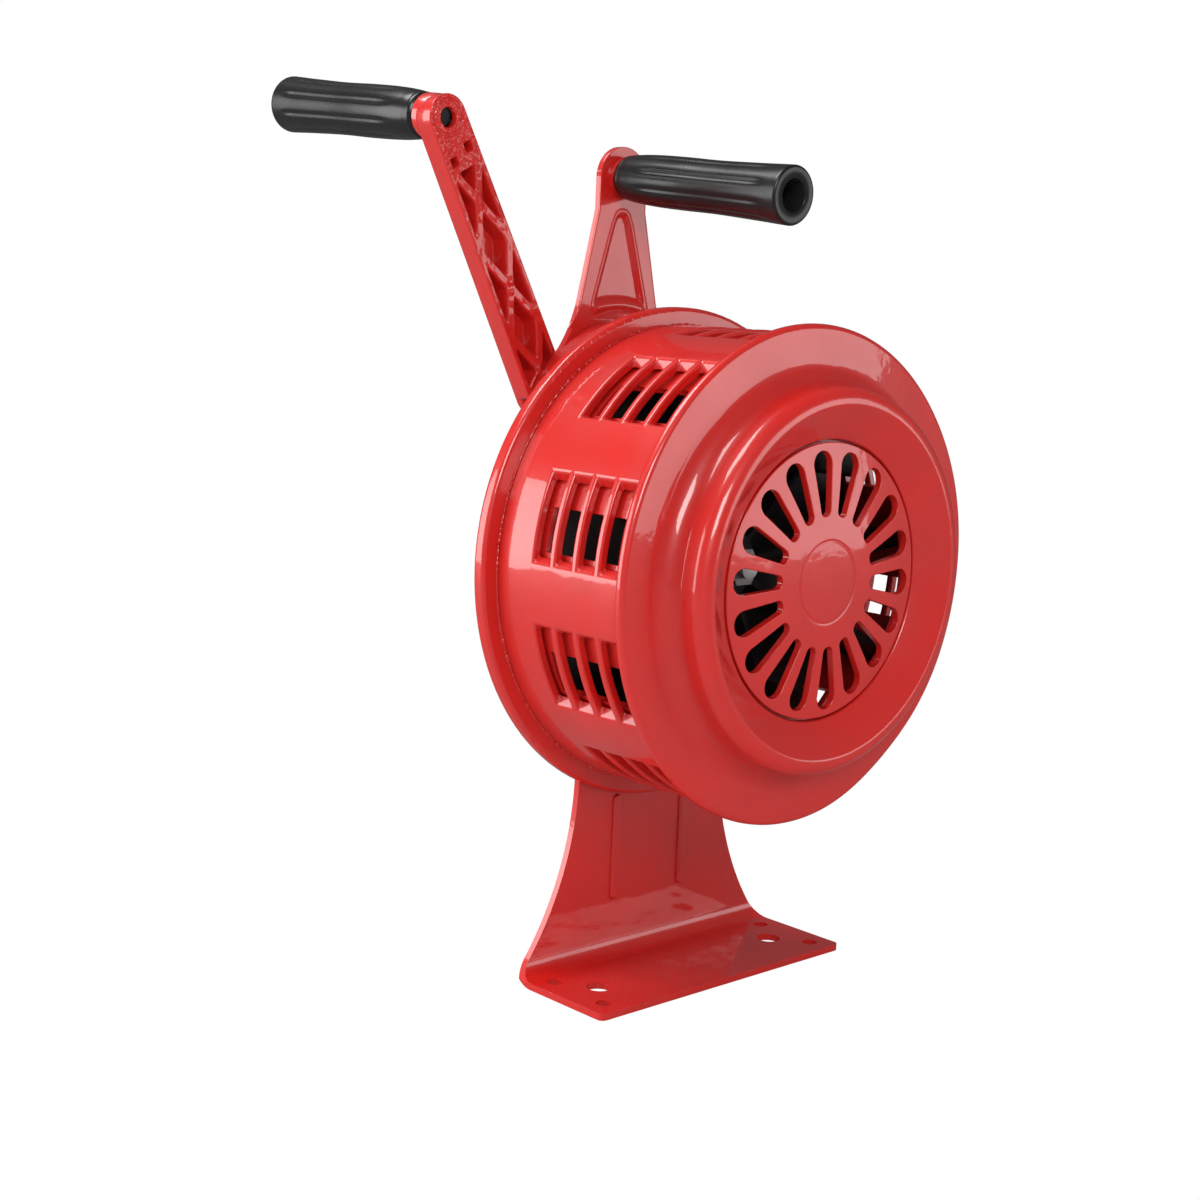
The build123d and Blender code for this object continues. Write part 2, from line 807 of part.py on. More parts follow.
def idler_shaft(at, gear_end, collar_end):
    """Plain pin between its two bushes, with a collar in front and a circlip groove behind the gear."""
    pin = rod(idler_shaft_radius, shaft_front_end, shaft_back_end, at)
    if collar_end > gear_1_front:
        pin += rod(idler_shaft_radius + 1.5, floor_top + end_float, collar_end - fit, at)
    return pin - circlip_groove(idler_shaft_radius, gear_end + fit, at)


def bush(shaft, start, end, at):
    return tube(shaft + running + bush_wall, shaft + running, start, end, at)


def flanged_bush(shaft, at):
    """Bush in the housing cover, its flange on the inside."""
    outer = shaft + running + bush_wall
    flange = tube(outer + bush_wall, shaft + running, housing_back - bush_flange, housing_back, at)
    return flange + bush(shaft, housing_back - 0.1, cover_back, at)


def idler_bushes():
    pieces = []
    for at in (idler_1_at, idler_2_at):
        pieces.append(bush(idler_shaft_radius, mating_face, floor_top, at))
        pieces.append(flanged_bush(idler_shaft_radius, at))
    return Compound(pieces)


def crank_bushes():
    front = bush(crank_shaft_radius, mating_face, floor_top, crank_at)
    back = bush(crank_shaft_radius, hub_bore_start, crank_hub_end, crank_at)
    return Compound([front, back])


# Gear housing
def cover_screw_places():
    centre = (0, housing_height)
    circle = housing_radius - screw_boss_radius
    places = [around(centre, circle, angle) for angle in cover_screw_angles]
    places.append(around(rotor_at, rotor_lobe_radius - screw_boss_radius, -90))
    return places


def housing_outline(inset=0.0):
    """Round gearbox with lobes round the second idler and the rotor shaft."""
    shape = Pos(0, housing_height) * Circle(housing_radius - inset)
    shape += Pos(*idler_2_at) * Circle(idler_lobe - inset)
    return shape + Pos(*rotor_at) * Circle(rotor_lobe_radius - inset)


def gear_housing():
    """Cast box: floor, wall, low lobe over the crank gear, and the long hub of the crank shaft."""
    roof_end = gear_1_front + gear_1_width + 0.5 + lobe_roof
    solid = slab(housing_outline(), mating_face, housing_back)
    solid += rod(crank_lobe, mating_face, roof_end, crank_at)
    cavity = slab(housing_outline(housing_wall), floor_top, housing_back + 1)
    cavity += rod(crank_lobe - lobe_wall, floor_top, roof_end - lobe_roof, crank_at)
    cast = solid - cavity
    hub = rod(crank_hub_radius, roof_end - lobe_roof, crank_hub_end, crank_at)
    clear = tip_radius(idler_1_teeth) + moving_gap
    hub -= rod(clear, roof_end - lobe_roof - 1, hub_bore_start, idler_1_at)
    hub -= rod(crank_hub_radius + 1, roof_end - lobe_roof - 1, roof_end - lobe_roof + 0.1, crank_at)
    cast += hub
    for at in cover_screw_places():
        cast += rod(screw_boss_radius, floor_top - 0.5, housing_back, at)
    cast -= rod(clear, floor_top + gear_1_width + 1, hub_bore_start, idler_1_at) & cavity
    return housing_bores(cast)


def housing_bores(cast):
    bush_outer = bush_wall + running + fit
    cast -= rod(crank_shaft_radius + bush_outer, mating_face - 1, floor_top + 1, crank_at)
    circlip_room = crank_shaft_radius + circlip_width + moving_gap
    cast -= rod(circlip_room, floor_top, hub_bore_start + 1, crank_at)
    cast -= rod(crank_shaft_radius + bush_outer, hub_bore_start, crank_hub_end + 1, crank_at)
    for at in (idler_1_at, idler_2_at):
        cast -= rod(idler_shaft_radius + bush_outer, mating_face - 1, floor_top + 1, at)
    cast -= rod(shaft_shoulder + 2, mating_face - 1, floor_top + 1)
    for at in cover_screw_places():
        cast -= rod(cover_screw_radius + fit, housing_back - cover_screw_length, housing_back + 1, at)
    for at in housing_screw_places():
        cast -= rod(housing_screw_radius + fit, mating_face - 1, floor_top + 0.2, at)
    return cast


def housing_screws():
    return Compound(
        [
            countersunk_screw(housing_screw_radius, housing_screw_length, plate_front, 1, at)
            for at in housing_screw_places()
        ]
    )


def neck_outline():
    """Side of the neck: round top, straight, flare, and a tangent arc into the round cover."""
    foot_z = sqrt(housing_radius**2 - neck_foot_x**2)
    flare = Vector(neck_flare_x - neck_half_width, neck_flare_z - neck_straight_bottom)
    side = Line((0, 0), (0, neck_straight_top))
    side += Line((0, neck_straight_top), (neck_half_width, neck_straight_top))
    side += Line((neck_half_width, neck_straight_top), (neck_half_width, neck_straight_bottom))
    side += Line((neck_half_width, neck_straight_bottom), (neck_flare_x, neck_flare_z))
    side += TangentArc((neck_flare_x, neck_flare_z), (neck_foot_x, foot_z), tangent=flare)
    side += Line((neck_foot_x, foot_z), (0, 0))
    half = make_face(side)
    top = Pos(0, neck_straight_top) * Circle(neck_half_width)
    return Pos(0, housing_height) * (half + mirror(half, Plane.YZ) + top)


def panel_outline():
    """Tapered panel with a round top; its foot follows the curved rib."""
    corner_x = panel_bottom_half - panel_corner
    corners = Pos(0, panel_top - panel_top_half) * Circle(panel_top_half)
    for x in (-corner_x, corner_x):
        corners += Pos(x, panel_bottom + panel_corner) * Circle(panel_corner)
    rib_outside = panel_rib_radius + panel_rib_width
    return Pos(0, housing_height) * (make_hull(corners.edges()) - Circle(rib_outside))


def panel_rib():
    """Curved rib under the panel, round the gearbox's centre."""
    half = panel_rib_width / 2
    arc = Circle(panel_rib_radius + half) - Circle(panel_rib_radius - half)
    arc &= Pos(0, panel_rib_radius) * Rectangle(2 * panel_bottom_half - 4, panel_rib_radius)
    return Pos(0, housing_height) * arc


def housing_cover():
    """Back of the gearbox and the neck above it in one plate, with a pressed panel on the neck."""
    plate = slab(housing_outline() + neck_outline(), housing_back, cover_back)
    panel = slab(panel_outline(), housing_back - 1, housing_back + panel_depth)
    plate -= fillet(panel.edges().group_by(Axis.Y)[-1], 0.4 * panel_depth)
    rib = slab(panel_rib(), housing_back - panel_rib_height, housing_back + 0.5)
    plate += fillet(rib.edges().group_by(Axis.Y)[0], 0.6 * panel_rib_height)
    seat = Plane(origin=(0, housing_back, carry_height), z_dir=carry_grip_axis)
    plate += Solid.make_cylinder(carry_pad_radius, carry_pad, seat)
    through = Plane(origin=(0, housing_back, carry_height), z_dir=crank_grip_axis)
    plate -= Solid.make_cylinder(bolt_radius + fit, 2 * cover_thickness, through)
    plate -= Solid.make_cylinder(bolt_radius + fit, 2 * carry_pad, seat)
    plate -= rod(crank_hub_radius + 4 * fit, housing_back - 1, cover_back + 1, crank_at)
    for at in (idler_1_at, idler_2_at):
        plate -= rod(idler_shaft_radius + running + bush_wall + fit, housing_back - 1, cover_back + 1, at)
    plate -= rod(pinion_seat + running + bush_wall + fit, housing_back - 1, cover_back + 1)
    for at in cover_screw_places():
        plate -= countersunk(cover_screw_radius, cover_screw_length, cover_back, -1, at, fit)
    return plate


def cover_screws():
    return Compound(
        [
            countersunk_screw(cover_screw_radius, cover_screw_length, cover_back, -1, at)
            for at in cover_screw_places()
        ]
    )


# Crank
def arm_plane(station):
    """X across the arm to the right, Y along it from the crank shaft, facing the drum."""
    lean = radians(arm_lean)
    return Plane(origin=(crank_x, station, crank_z), x_dir=(cos(lean), 0, sin(lean)), z_dir=(0, -1, 0))


def arm_pockets():
    """Cells between crossed ribs, open to the drum side, and two small square ones under the head."""
    foot_half = arm_foot_radius - arm_rim
    end_half = arm_foot_radius + (arm_head_radius - arm_foot_radius) * arm_lattice_end / arm_length - arm_rim
    cells = Polygon(
        (-foot_half, 0),
        (foot_half, 0),
        (end_half, arm_lattice_end),
        (-end_half, arm_lattice_end),
        align=None,
    )
    cells -= Circle(crank_hub_radius + arm_rim / 2)
    slope = degrees(atan2(foot_half, arm_rib_pitch / 2)) - 1
    crossing = arm_first_crossing
    while crossing < arm_lattice_end:
        for side in (-1, 1):
            rib = Rectangle(arm_rib_width, 1.6 * arm_rib_pitch)
            cells -= Pos(0, crossing) * Rot(0, 0, side * slope) * rib
        crossing += arm_rib_pitch
    for side in (-1, 1):
        middle = arm_small_pocket_s + side * arm_small_pocket_shift
        cells += Pos(side * arm_small_pocket_n, middle) * Rectangle(arm_small_pocket, arm_small_pocket)
    return cells


def crank_arm():
    """Cast arm: ribbed cells, a thin round foot with a short hub, and a head boss for the grip bolt."""
    outline = make_hull((Circle(arm_foot_radius) + Pos(0, arm_length) * Circle(arm_head_radius)).edges())
    arm = extrude(arm_plane(arm_back) * outline, arm_depth)
    arm = fillet(arm.edges().group_by(Axis.Y)[-1], 1.2)
    foot_cut = Circle(arm_foot_radius + 2) - Circle(crank_hub_radius)
    foot_cut &= Pos(0, -arm_foot_radius) * Rectangle(4 * arm_foot_radius, 2 * arm_foot_radius + 6)
    arm -= extrude(arm_plane(arm_back - arm_foot_disc) * foot_cut, arm_depth)
    arm -= extrude(arm_plane(arm_front + arm_pocket_depth) * arm_pockets(), arm_depth)
    boss_length = arm_depth + arm_boss_extra - arm_boss_tilt_start
    arm += Solid.make_cylinder(arm_head_radius - 0.2, boss_length, grip_seat(arm_boss_tilt_start))
    arm -= Solid.make_cylinder(bolt_radius + fit, 2 * arm_depth, grip_seat(-arm_boss_extra))
    arm -= rod(crank_shaft_radius + fit, arm_front - 1, arm_back + 1, crank_at)
    return arm - arm_key_box(fit)


def grip_seat(distance):
    """Plane square to the crank grip's axis, at a distance behind the front of the arm's head."""
    origin = (
        grip_x,
        arm_front + distance * tilt_cos,
        grip_z + distance * tilt_sin,
    )
    return Plane(origin=origin, z_dir=crank_grip_axis)


def arm_key_box(grow=0.0):
    length = arm_depth - 3
    box = Box(arm_key_size + 2 * grow, length + 2 * grow, arm_key_size + 2 * grow)
    return Pos(crank_x, arm_back - length / 2 - 0.5, crank_z - crank_shaft_radius) * box


def crank_shaft():
    """Plain shaft from the housing floor to the back of the arm, tapped for the arm's screw."""
    shaft = rod(crank_shaft_radius, shaft_front_end, arm_back - end_float, crank_at)
    shaft -= arm_key_box(fit)
    shaft -= rod(arm_screw_radius + fit, arm_back - arm_screw_length - screw_end_gap, arm_back, crank_at)
    return shaft - circlip_groove(crank_shaft_radius, gear_1_front + gear_1_width + fit, crank_at)


def arm_washer():
    inner = arm_screw_radius + 2 * fit
    return tube(arm_washer_radius, inner, arm_back, arm_back + washer_thickness, crank_at)


def arm_screw():
    """Button-head screw that clamps the arm on the shaft."""
    seat = arm_back + washer_thickness
    screw = rod(arm_screw_radius, arm_back - arm_screw_length, seat, crank_at)
    head = rod(arm_screw_head_radius, seat, seat + arm_screw_head, crank_at)
    screw += fillet(head.edges().group_by(Axis.Y)[-1], 0.6 * arm_screw_head)
    socket_end = seat + arm_screw_head
    return screw - hexagon(arm_screw_socket, socket_end - arm_screw_head / 2, socket_end + 1, crank_at)


# Grips, made along +Z from their inner end
def grip():
    """Swelling plastic grip with shallow flutes and a counterbore for its bolt head."""
    first_s, first_r = grip_stations[0]
    last_s, last_r = grip_stations[-1]
    side = Spline(*[(radius, s) for s, radius in grip_stations])
    profile = Line((0, 0), (grip_inner_end, 0))
    profile += ThreePointArc((grip_inner_end, 0), (first_r - 0.7, first_s * 0.3), (first_r, first_s))
    profile += side
    profile += Line((last_r, last_s), (last_r - grip_rim, grip_length))
    profile += Line((last_r - grip_rim, grip_length), (0, grip_length))
    profile += Line((0, grip_length), (0, 0))
    body = revolve(Plane.XZ * make_face(profile), Axis.Z)
    for flute in range(grip_flute_count):
        body -= Rot(0, 0, 360 * flute / grip_flute_count) * grip_flute()
    body -= Pos(0, 0, grip_length / 2) * Cylinder(bolt_radius + running, grip_length + 2)
    sink = grip_counterbore_depth
    return body - Pos(0, 0, grip_length - sink / 2 + 1) * Cylinder(grip_counterbore, sink + 2)


def grip_flute():
    """Shallow round groove along most of the grip's length."""
    reach = grip_stations[2][1] + grip_flute_radius - grip_flute_depth
    middle = grip_length / 2
    return Pos(reach, 0, middle) * Cylinder(grip_flute_radius, 0.72 * grip_length)


def grip_bolt(thread):
    """Socket-head shoulder bolt along +Z; z = 0 is the grip's inner end, the thread reaches below it."""
    seat = grip_length - grip_counterbore_depth + end_float
    bolt = Pos(0, 0, (seat - thread) / 2) * Cylinder(bolt_radius, seat + thread)
    bolt += Pos(0, 0, seat + bolt_head_height / 2) * Cylinder(bolt_head_radius, bolt_head_height)
    socket = RegularPolygon(bolt_socket_flats / 2, 6, major_radius=False)
    top = seat + bolt_head_height
    return bolt - Pos(0, 0, top - bolt_socket_depth) * extrude(socket, bolt_socket_depth + 1)


def crank_grip_seat():
    return Location(grip_seat(arm_depth + arm_boss_extra + end_float))


def carry_grip_seat():
    face = Plane(origin=(0, housing_back, carry_height), z_dir=carry_grip_axis)
    return Location(face.offset(carry_pad + end_float))


def crank_grip_bolt():
    thread = arm_depth + arm_boss_extra + end_float - bolt_end_recess
    return crank_grip_seat() * grip_bolt(thread)


def carry_grip_bolt():
    thread = carry_pad + end_float + cover_thickness - 0.6
    return carry_grip_seat() * grip_bolt(thread)


nodes = {
    "base_bracket": base_bracket,
    "bracket_bolts": bracket_bolts,
    "bracket_washers": bracket_washers,
    "rear_plate": rear_plate,
    "stator_drum": stator_drum,
    "drum_screws": drum_screws,
    "front_cover": front_cover,
    "inlet_grille": inlet_grille,
    "gear_housing": gear_housing,
    "housing_screws": housing_screws,
    "housing_cover": housing_cover,
    "cover_screws": cover_screws,
    "crank_bushes": crank_bushes,
    "idler_bushes": idler_bushes,
    "rotor_bush": lambda: flanged_bush(pinion_seat, rotor_at),
    "bearing_outer_race": bearing_outer_race,
    "carry_grip": lambda: carry_grip_seat() * grip(),
    "carry_grip_bolt": carry_grip_bolt,
    "rotor_shell": rotor_shell,
    "impeller": impeller,
    "rotor_rivets": rotor_rivets,
    "rotor_shaft": rotor_shaft,
    "rotor_key": rotor_key_box,
    "rotor_washer": rotor_washer,
    "rotor_nut": rotor_nut,
    "rotor_pinion": rotor_pinion,
    "rotor_circlip": lambda: circlip(pinion_seat, gear_3_front + gear_3_width + fit, rotor_at),
    "bearing_inner_race": bearing_inner_race,
    "bearing_balls": bearing_balls,
    "ball_cage": ball_cage,
    "crank_shaft": crank_shaft,
    "crank_gear": crank_gear,
    "crank_circlip": lambda: circlip(crank_shaft_radius, gear_1_front + gear_1_width + fit, crank_at),
    "crank_arm": crank_arm,
    "arm_key": arm_key_box,
    "arm_washer": arm_washer,
    "arm_screw": arm_screw,
    "crank_grip": lambda: crank_grip_seat() * grip(),
    "crank_grip_bolt": crank_grip_bolt,
    "idler_1_shaft": lambda: idler_shaft(idler_1_at, gear_2_front + gear_2_width, gear_1_front),
    "idler_1_pinion": idler_1_pinion,
    "idler_1_gear": idler_1_gear,
    "idler_1_circlip": lambda: circlip(idler_shaft_radius, gear_2_front + gear_2_width + fit, idler_1_at),
    "idler_2_shaft": lambda: idler_shaft(idler_2_at, gear_3_front + gear_3_width, gear_2_front),
    "idler_2_pinion": idler_2_pinion,
    "idler_2_gear": idler_2_gear,
    "idler_2_circlip": lambda: circlip(idler_shaft_radius, gear_3_front + gear_3_width + fit, idler_2_at),
}

os.makedirs("parts", exist_ok=True)
for name, build in nodes.items():
    export_step(build(), f"parts/{name}.step")
    print("wrote", name)
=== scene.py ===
import json
import math

import bmesh
import bpy
import numpy as np
from mathutils import Matrix, Vector


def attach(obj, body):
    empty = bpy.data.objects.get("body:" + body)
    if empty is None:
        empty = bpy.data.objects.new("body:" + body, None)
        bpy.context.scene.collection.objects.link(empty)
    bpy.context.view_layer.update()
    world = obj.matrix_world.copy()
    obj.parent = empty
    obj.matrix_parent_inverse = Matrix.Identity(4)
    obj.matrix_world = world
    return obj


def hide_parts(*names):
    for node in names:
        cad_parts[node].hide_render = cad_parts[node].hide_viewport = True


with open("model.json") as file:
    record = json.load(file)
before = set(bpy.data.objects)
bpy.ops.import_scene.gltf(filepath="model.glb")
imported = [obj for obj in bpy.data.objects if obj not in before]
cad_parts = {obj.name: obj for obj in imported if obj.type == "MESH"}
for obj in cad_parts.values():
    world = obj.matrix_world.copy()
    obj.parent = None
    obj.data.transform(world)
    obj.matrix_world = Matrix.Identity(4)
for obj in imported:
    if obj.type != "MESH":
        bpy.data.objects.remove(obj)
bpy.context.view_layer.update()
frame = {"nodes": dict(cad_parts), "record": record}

scene = bpy.context.scene
mm = 0.001
mergeDistance = 1e-7  # metres
print("frame loaded")

# sizes that more than one piece uses, in millimetres
drum = {
    "axisHeight": 194.8, "radius": 106.0, "front": -54.8, "back": 22.7, "rimFace": -59.8, "crest": -79.5,
}


# meshes

# points in millimetres and faces as index rows become a piece on its body; an open sheet has a facing
def linkMesh(name, points, faces, body, material, replaced=(), facing=None):
    mesh = bpy.data.meshes.new(name)
    mesh.from_pydata((np.asarray(points) * mm).tolist(), [], faces)
    clean = bmesh.new()
    clean.from_mesh(mesh)
    bmesh.ops.remove_doubles(clean, verts=clean.verts, dist=mergeDistance)
    bmesh.ops.recalc_face_normals(clean, faces=clean.faces)
    if facing is not None and sum((face.normal * face.calc_area()).dot(facing) for face in clean.faces) < 0:
        bmesh.ops.reverse_faces(clean, faces=clean.faces)
    clean.to_mesh(mesh)
    clean.free()
    mesh.polygons.foreach_set("use_smooth", np.ones(len(mesh.polygons), bool))
    mesh.materials.append(material)
    piece = bpy.data.objects.new(name, mesh)
    scene.collection.objects.link(piece)
    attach(piece, body)
    if replaced:
        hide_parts(*replaced)
    return piece


# quads between neighbours of a grid, as index rows; a closed direction joins its last to its first
def gridFaces(rows, columns, closeRows, closeColumns):
    i = np.arange(rows if closeRows else rows - 1)
    j = np.arange(columns if closeColumns else columns - 1)
    i, j = np.meshgrid(i, j, indexing="ij")
    nextI = (i + 1) % rows
    nextJ = (j + 1) % columns
    corners = (i * columns + j, nextI * columns + j, nextI * columns + nextJ, i * columns + nextJ)
    return np.stack([c.ravel() for c in corners], 1).tolist()


# closed polygon of radius, Y and rounding: each corner becomes an arc tangent to its two sides
def roundedProfile(corners, steps=7):
    corners = np.array(corners, float)
    points = corners[:, :2]
    arcs = []
    for n, corner in enumerate(corners):
        here = points[n]
        before = points[n - 1] - here
        after = points[(n + 1) % len(points)] - here
        before /= np.linalg.norm(before)
        after /= np.linalg.norm(after)
        half = math.acos(np.clip(before @ after, -1, 1)) / 2
        bisector = before + after
        bisector /= np.linalg.norm(bisector)
        centre = here + bisector * corner[2] / math.sin(half)
        start = here + before * corner[2] / math.tan(half) - centre
        end = here + after * corner[2] / math.tan(half) - centre
        t = np.linspace(0, 1, steps)[:, None]
        sweep = math.pi - 2 * half
        arcs.append(centre + (np.sin((1 - t) * sweep) * start + np.sin(t * sweep) * end) / math.sin(sweep))
    return np.concatenate(arcs)


# points round the drum's axis: x = r sin a, z = axis height + r cos a
def aroundDrum(radius, y, angle):
    radius, y, angle = np.broadcast_arrays(radius, y, angle)
    x = radius * np.sin(angle)
    z = drum["axisHeight"] + radius * np.cos(angle)
    return np.stack([x, y, z], 2).reshape(-1, 3)


# points round a tilted line: seat + distance along it + r cos a to the side + r sin a upwards
def aroundLine(seat, direction, along, radius, angle):
    side = Vector((1, 0, 0))
    up = side.cross(direction)
    points = (
        np.array(seat)
        + along[:, None, None] * np.array(direction)
        + (radius * np.cos(angle))[:, :, None] * np.array(side)
        + (radius * np.sin(angle))[:, :, None] * np.array(up)
    )
    return points.reshape(-1, 3)


# 0 below the low end, 1 above the high end, and a smooth cubic between them
def softStep(x, low, high):
    t = np.clip((x - low) / (high - low), 0, 1)
    return t * t * (3 - 2 * t)


# bell of height 1 at the place given, as wide as the width
def bell(x, place, width):
    return np.exp(-(((x - place) / width) ** 2))


# sum of seeded sine waves of random heading, phase and length, mostly within -1.5 and 1.5
def roughness(x, z, seed, shortest, longest, waves=24):
    random = np.random.default_rng(seed)
    total = np.zeros(np.broadcast(x, z).shape)
    for _ in range(waves):
        heading, phase = random.uniform(0, 2 * np.pi, 2)
        pace = 2 * np.pi / random.uniform(shortest, longest)
        total += np.sin(pace * (x * np.cos(heading) + z * np.sin(heading)) + phase)
    return total / math.sqrt(waves)


# least of several distances, with its corners rounded over the length soft
def smoothLeast(values, soft, farthest=40):
    total = sum(np.exp(-np.clip(value, -farthest, farthest) / soft) for value in values)
    return -soft * np.log(total)


# piecewise cubic through the stations, with its slope taken from the neighbours of each
def smoothCurve(x, stations):
    s, r = np.array(stations).T
    slopes = np.gradient(r, s)
    k = np.clip(np.searchsorted(s, x, side="right") - 1, 0, len(s) - 2)
    h = s[k + 1] - s[k]
    t = np.clip((x - s[k]) / h, 0, 1)
    fromLeft = (2 * t**3 - 3 * t**2 + 1) * r[k] + (t**3 - 2 * t**2 + t) * h * slopes[k]
    fromRight = (3 * t**2 - 2 * t**3) * r[k + 1] + (t**3 - t**2) * h * slopes[k + 1]
    return fromLeft + fromRight


def roundEdges(piece, width, segments, sharpAngle):
    edge = piece.modifiers.new("edge", "BEVEL")
    edge.width = width * mm
    edge.segments = segments
    edge.limit_method = "ANGLE"
    edge.angle_limit = math.radians(sharpAngle)
    edge.harden_normals = True


softEdge = {"segments": 2, "sharpAngle": 30, "flatAngle": 0.2, "merge": 2e-6}


# copy of a solid's faces: merged, flat triangles joined and sharp edges rounded as paint leaves them
def softened(name, node, material, width, v):
    shape = bmesh.new()
    shape.from_mesh(frame["nodes"][node].data)
    bmesh.ops.remove_doubles(shape, verts=shape.verts, dist=v["merge"])
    bmesh.ops.dissolve_limit(
        shape, angle_limit=math.radians(v["flatAngle"]), verts=shape.verts, edges=shape.edges,
        use_dissolve_boundaries=False,
    )
    joined = bpy.data.meshes.new(name + "Faces")
    shape.to_mesh(joined)
    shape.free()
    points = np.empty(len(joined.vertices) * 3)
    joined.vertices.foreach_get("co", points)
    faces = [list(face.vertices) for face in joined.polygons]
    piece = linkMesh(name, points.reshape(-1, 3) / mm, faces, "root", material, (node,))
    bpy.data.meshes.remove(joined)
    piece.data.set_sharp_from_angle(angle=math.radians(v["sharpAngle"]))
    roundEdges(piece, width, v["segments"], v["sharpAngle"])


# shader groups and materials
def setInputs(tree, node, inputs):
    for key, value in inputs.items():
        if isinstance(value, bpy.types.NodeSocket):
            tree.links.new(value, node.inputs[key])
        else:
            node.inputs[key].default_value = value


def addNode(tree, kind, inputs=None, **settings):
    node = tree.nodes.new(kind)
    for key, value in settings.items():
        setattr(node, key, value)
    setInputs(tree, node, inputs or {})
    return node


def newGroup(name, inputs, outputs):
    group = bpy.data.node_groups.new(name, "ShaderNodeTree")
    for label, kind, value in inputs:
        socket = group.interface.new_socket(label, in_out="INPUT", socket_type=kind)
        if value is not None:
            socket.default_value = value
    for label, kind in outputs:
        group.interface.new_socket(label, in_out="OUTPUT", socket_type=kind)
    return group, group.nodes.new("NodeGroupInput"), group.nodes.new("NodeGroupOutput")


skinDetail = {"ripple": 1.0, "wave": 2.0, "pitScale": 420.0, "pitRadius": 0.12}


# fine ripple, slow waviness and small pits of a sprayed or moulded skin, added up as one height
def surfaceGroup(v):
    group, given, result = newGroup(
        "skin",
        [
            ("Place", "NodeSocketVector", None),
            ("Ripple Scale", "NodeSocketFloat", 300.0),
            ("Ripple", "NodeSocketFloat", 0.02),
            ("Wave Scale", "NodeSocketFloat", 25.0),
            ("Wave", "NodeSocketFloat", 0.2),
            ("Pits", "NodeSocketFloat", 0.05),
        ],
        [("Height", "NodeSocketFloat"), ("Tone", "NodeSocketFloat")],
    )

    def noise(scale, detail):
        inputs = {"Vector": given.outputs["Place"], "Scale": given.outputs[scale], "Detail": detail}
        return addNode(group, "ShaderNodeTexNoise", inputs).outputs["Fac"]

    ripple = noise("Ripple Scale", v["ripple"])
    wave = noise("Wave Scale", v["wave"])
    inputs = {"Vector": given.outputs["Place"], "Scale": v["pitScale"]}
    cells = addNode(group, "ShaderNodeTexVoronoi", inputs)
    pit = addNode(
        group, "ShaderNodeMapRange",
        {"Value": cells.outputs["Distance"], "From Max": v["pitRadius"], "To Min": -1.0, "To Max": 0.0},
    )
    height = addNode(group, "ShaderNodeMath", {0: ripple, 1: given.outputs["Ripple"]}, operation="MULTIPLY")
    for value, weight in ((wave, "Wave"), (pit.outputs["Result"], "Pits")):
        inputs = {0: value, 1: given.outputs[weight], 2: height.outputs[0]}
        height = addNode(group, "ShaderNodeMath", inputs, operation="MULTIPLY_ADD")
    group.links.new(height.outputs[0], result.inputs["Height"])
    group.links.new(wave, result.inputs["Tone"])
    return group


skin = surfaceGroup(skinDetail)


# a coat of one colour with ripple, waviness and pits; enamel has a clear gloss over it
def paint(name, colour, deep, v):
    material = bpy.data.materials.new(name)
    material.use_nodes = True
    tree = material.node_tree
    shader = tree.nodes["Principled BSDF"]
    surface = addNode(tree, "ShaderNodeGroup", node_tree=skin)
    setInputs(tree, surface, {
        "Place": addNode(tree, "ShaderNodeTexCoord").outputs["Object"],
        "Ripple Scale": v["rippleScale"],
        "Ripple": v["ripple"],
        "Wave Scale": v["waveScale"],
        "Wave": v["wave"],
        "Pits": v["pits"],
    })
    tone = surface.outputs["Tone"]
    mixed = addNode(tree, "ShaderNodeMix", {"Factor": tone, "A": colour, "B": deep}, data_type="RGBA")
    rough = addNode(tree, "ShaderNodeMapRange", {
        "Value": tone, "From Min": v["toneLow"], "From Max": v["toneHigh"],
        "To Min": v["roughLow"], "To Max": v["roughHigh"],
    })
    bump = addNode(tree, "ShaderNodeBump", {
        "Height": surface.outputs["Height"], "Strength": 1.0, "Distance": v["depth"] * mm,
    })
    setInputs(tree, shader, {
        "Base Color": mixed.outputs["Result"],
        "Roughness": rough.outputs["Result"],
        "Normal": bump.outputs["Normal"],
        "Metallic": v["metallic"],
    })
    if v["coat"]:
        setInputs(tree, shader, {
            "Coat Weight": v["coat"],
            "Coat Roughness": v["coatRoughness"],
            "Coat Normal": bump.outputs["Normal"],
        })
    return material


enamel = {
    "rippleScale": 260.0, "ripple": 0.22, "waveScale": 38.0, "wave": 1.6, "pits": 0.12, "depth": 0.16,
    "toneLow": 0.3, "toneHigh": 0.7, "roughLow": 0.32, "roughHigh": 0.42,
    "coat": 1.0, "coatRoughness": 0.05, "metallic": 0.0,
}
bareMetal = {**enamel, "roughLow": 0.25, "roughHigh": 0.42, "coat": 0.0, "metallic": 1.0, "ripple": 0.2}
redPaint = paint("redPaint", (0.62, 0.012, 0.008, 1), (0.5, 0.008, 0.006, 1), enamel)
castPaint = paint(
    "castPaint", (0.62, 0.012, 0.008, 1), (0.48, 0.008, 0.006, 1),
    {**enamel, "rippleScale": 180.0, "ripple": 0.9, "wave": 2.2, "pits": 0.6},
)
blackPaint = paint(
    "blackPaint", (0.016, 0.016, 0.017, 1), (0.01, 0.01, 0.011, 1),
    {**enamel, "roughLow": 0.4, "roughHigh": 0.55, "coat": 0.0, "ripple": 0.4},
)
blackPlastic = paint(
    "blackPlastic", (0.012, 0.012, 0.0125, 1), (0.008, 0.008, 0.0085, 1),
    {**enamel, "roughLow": 0.24, "roughHigh": 0.34, "coat": 0.0, "ripple": 0.1, "wave": 0.5, "pits": 0.05},
)
steel = paint("zincSteel", (0.55, 0.56, 0.57, 1), (0.42, 0.43, 0.44, 1), bareMetal)
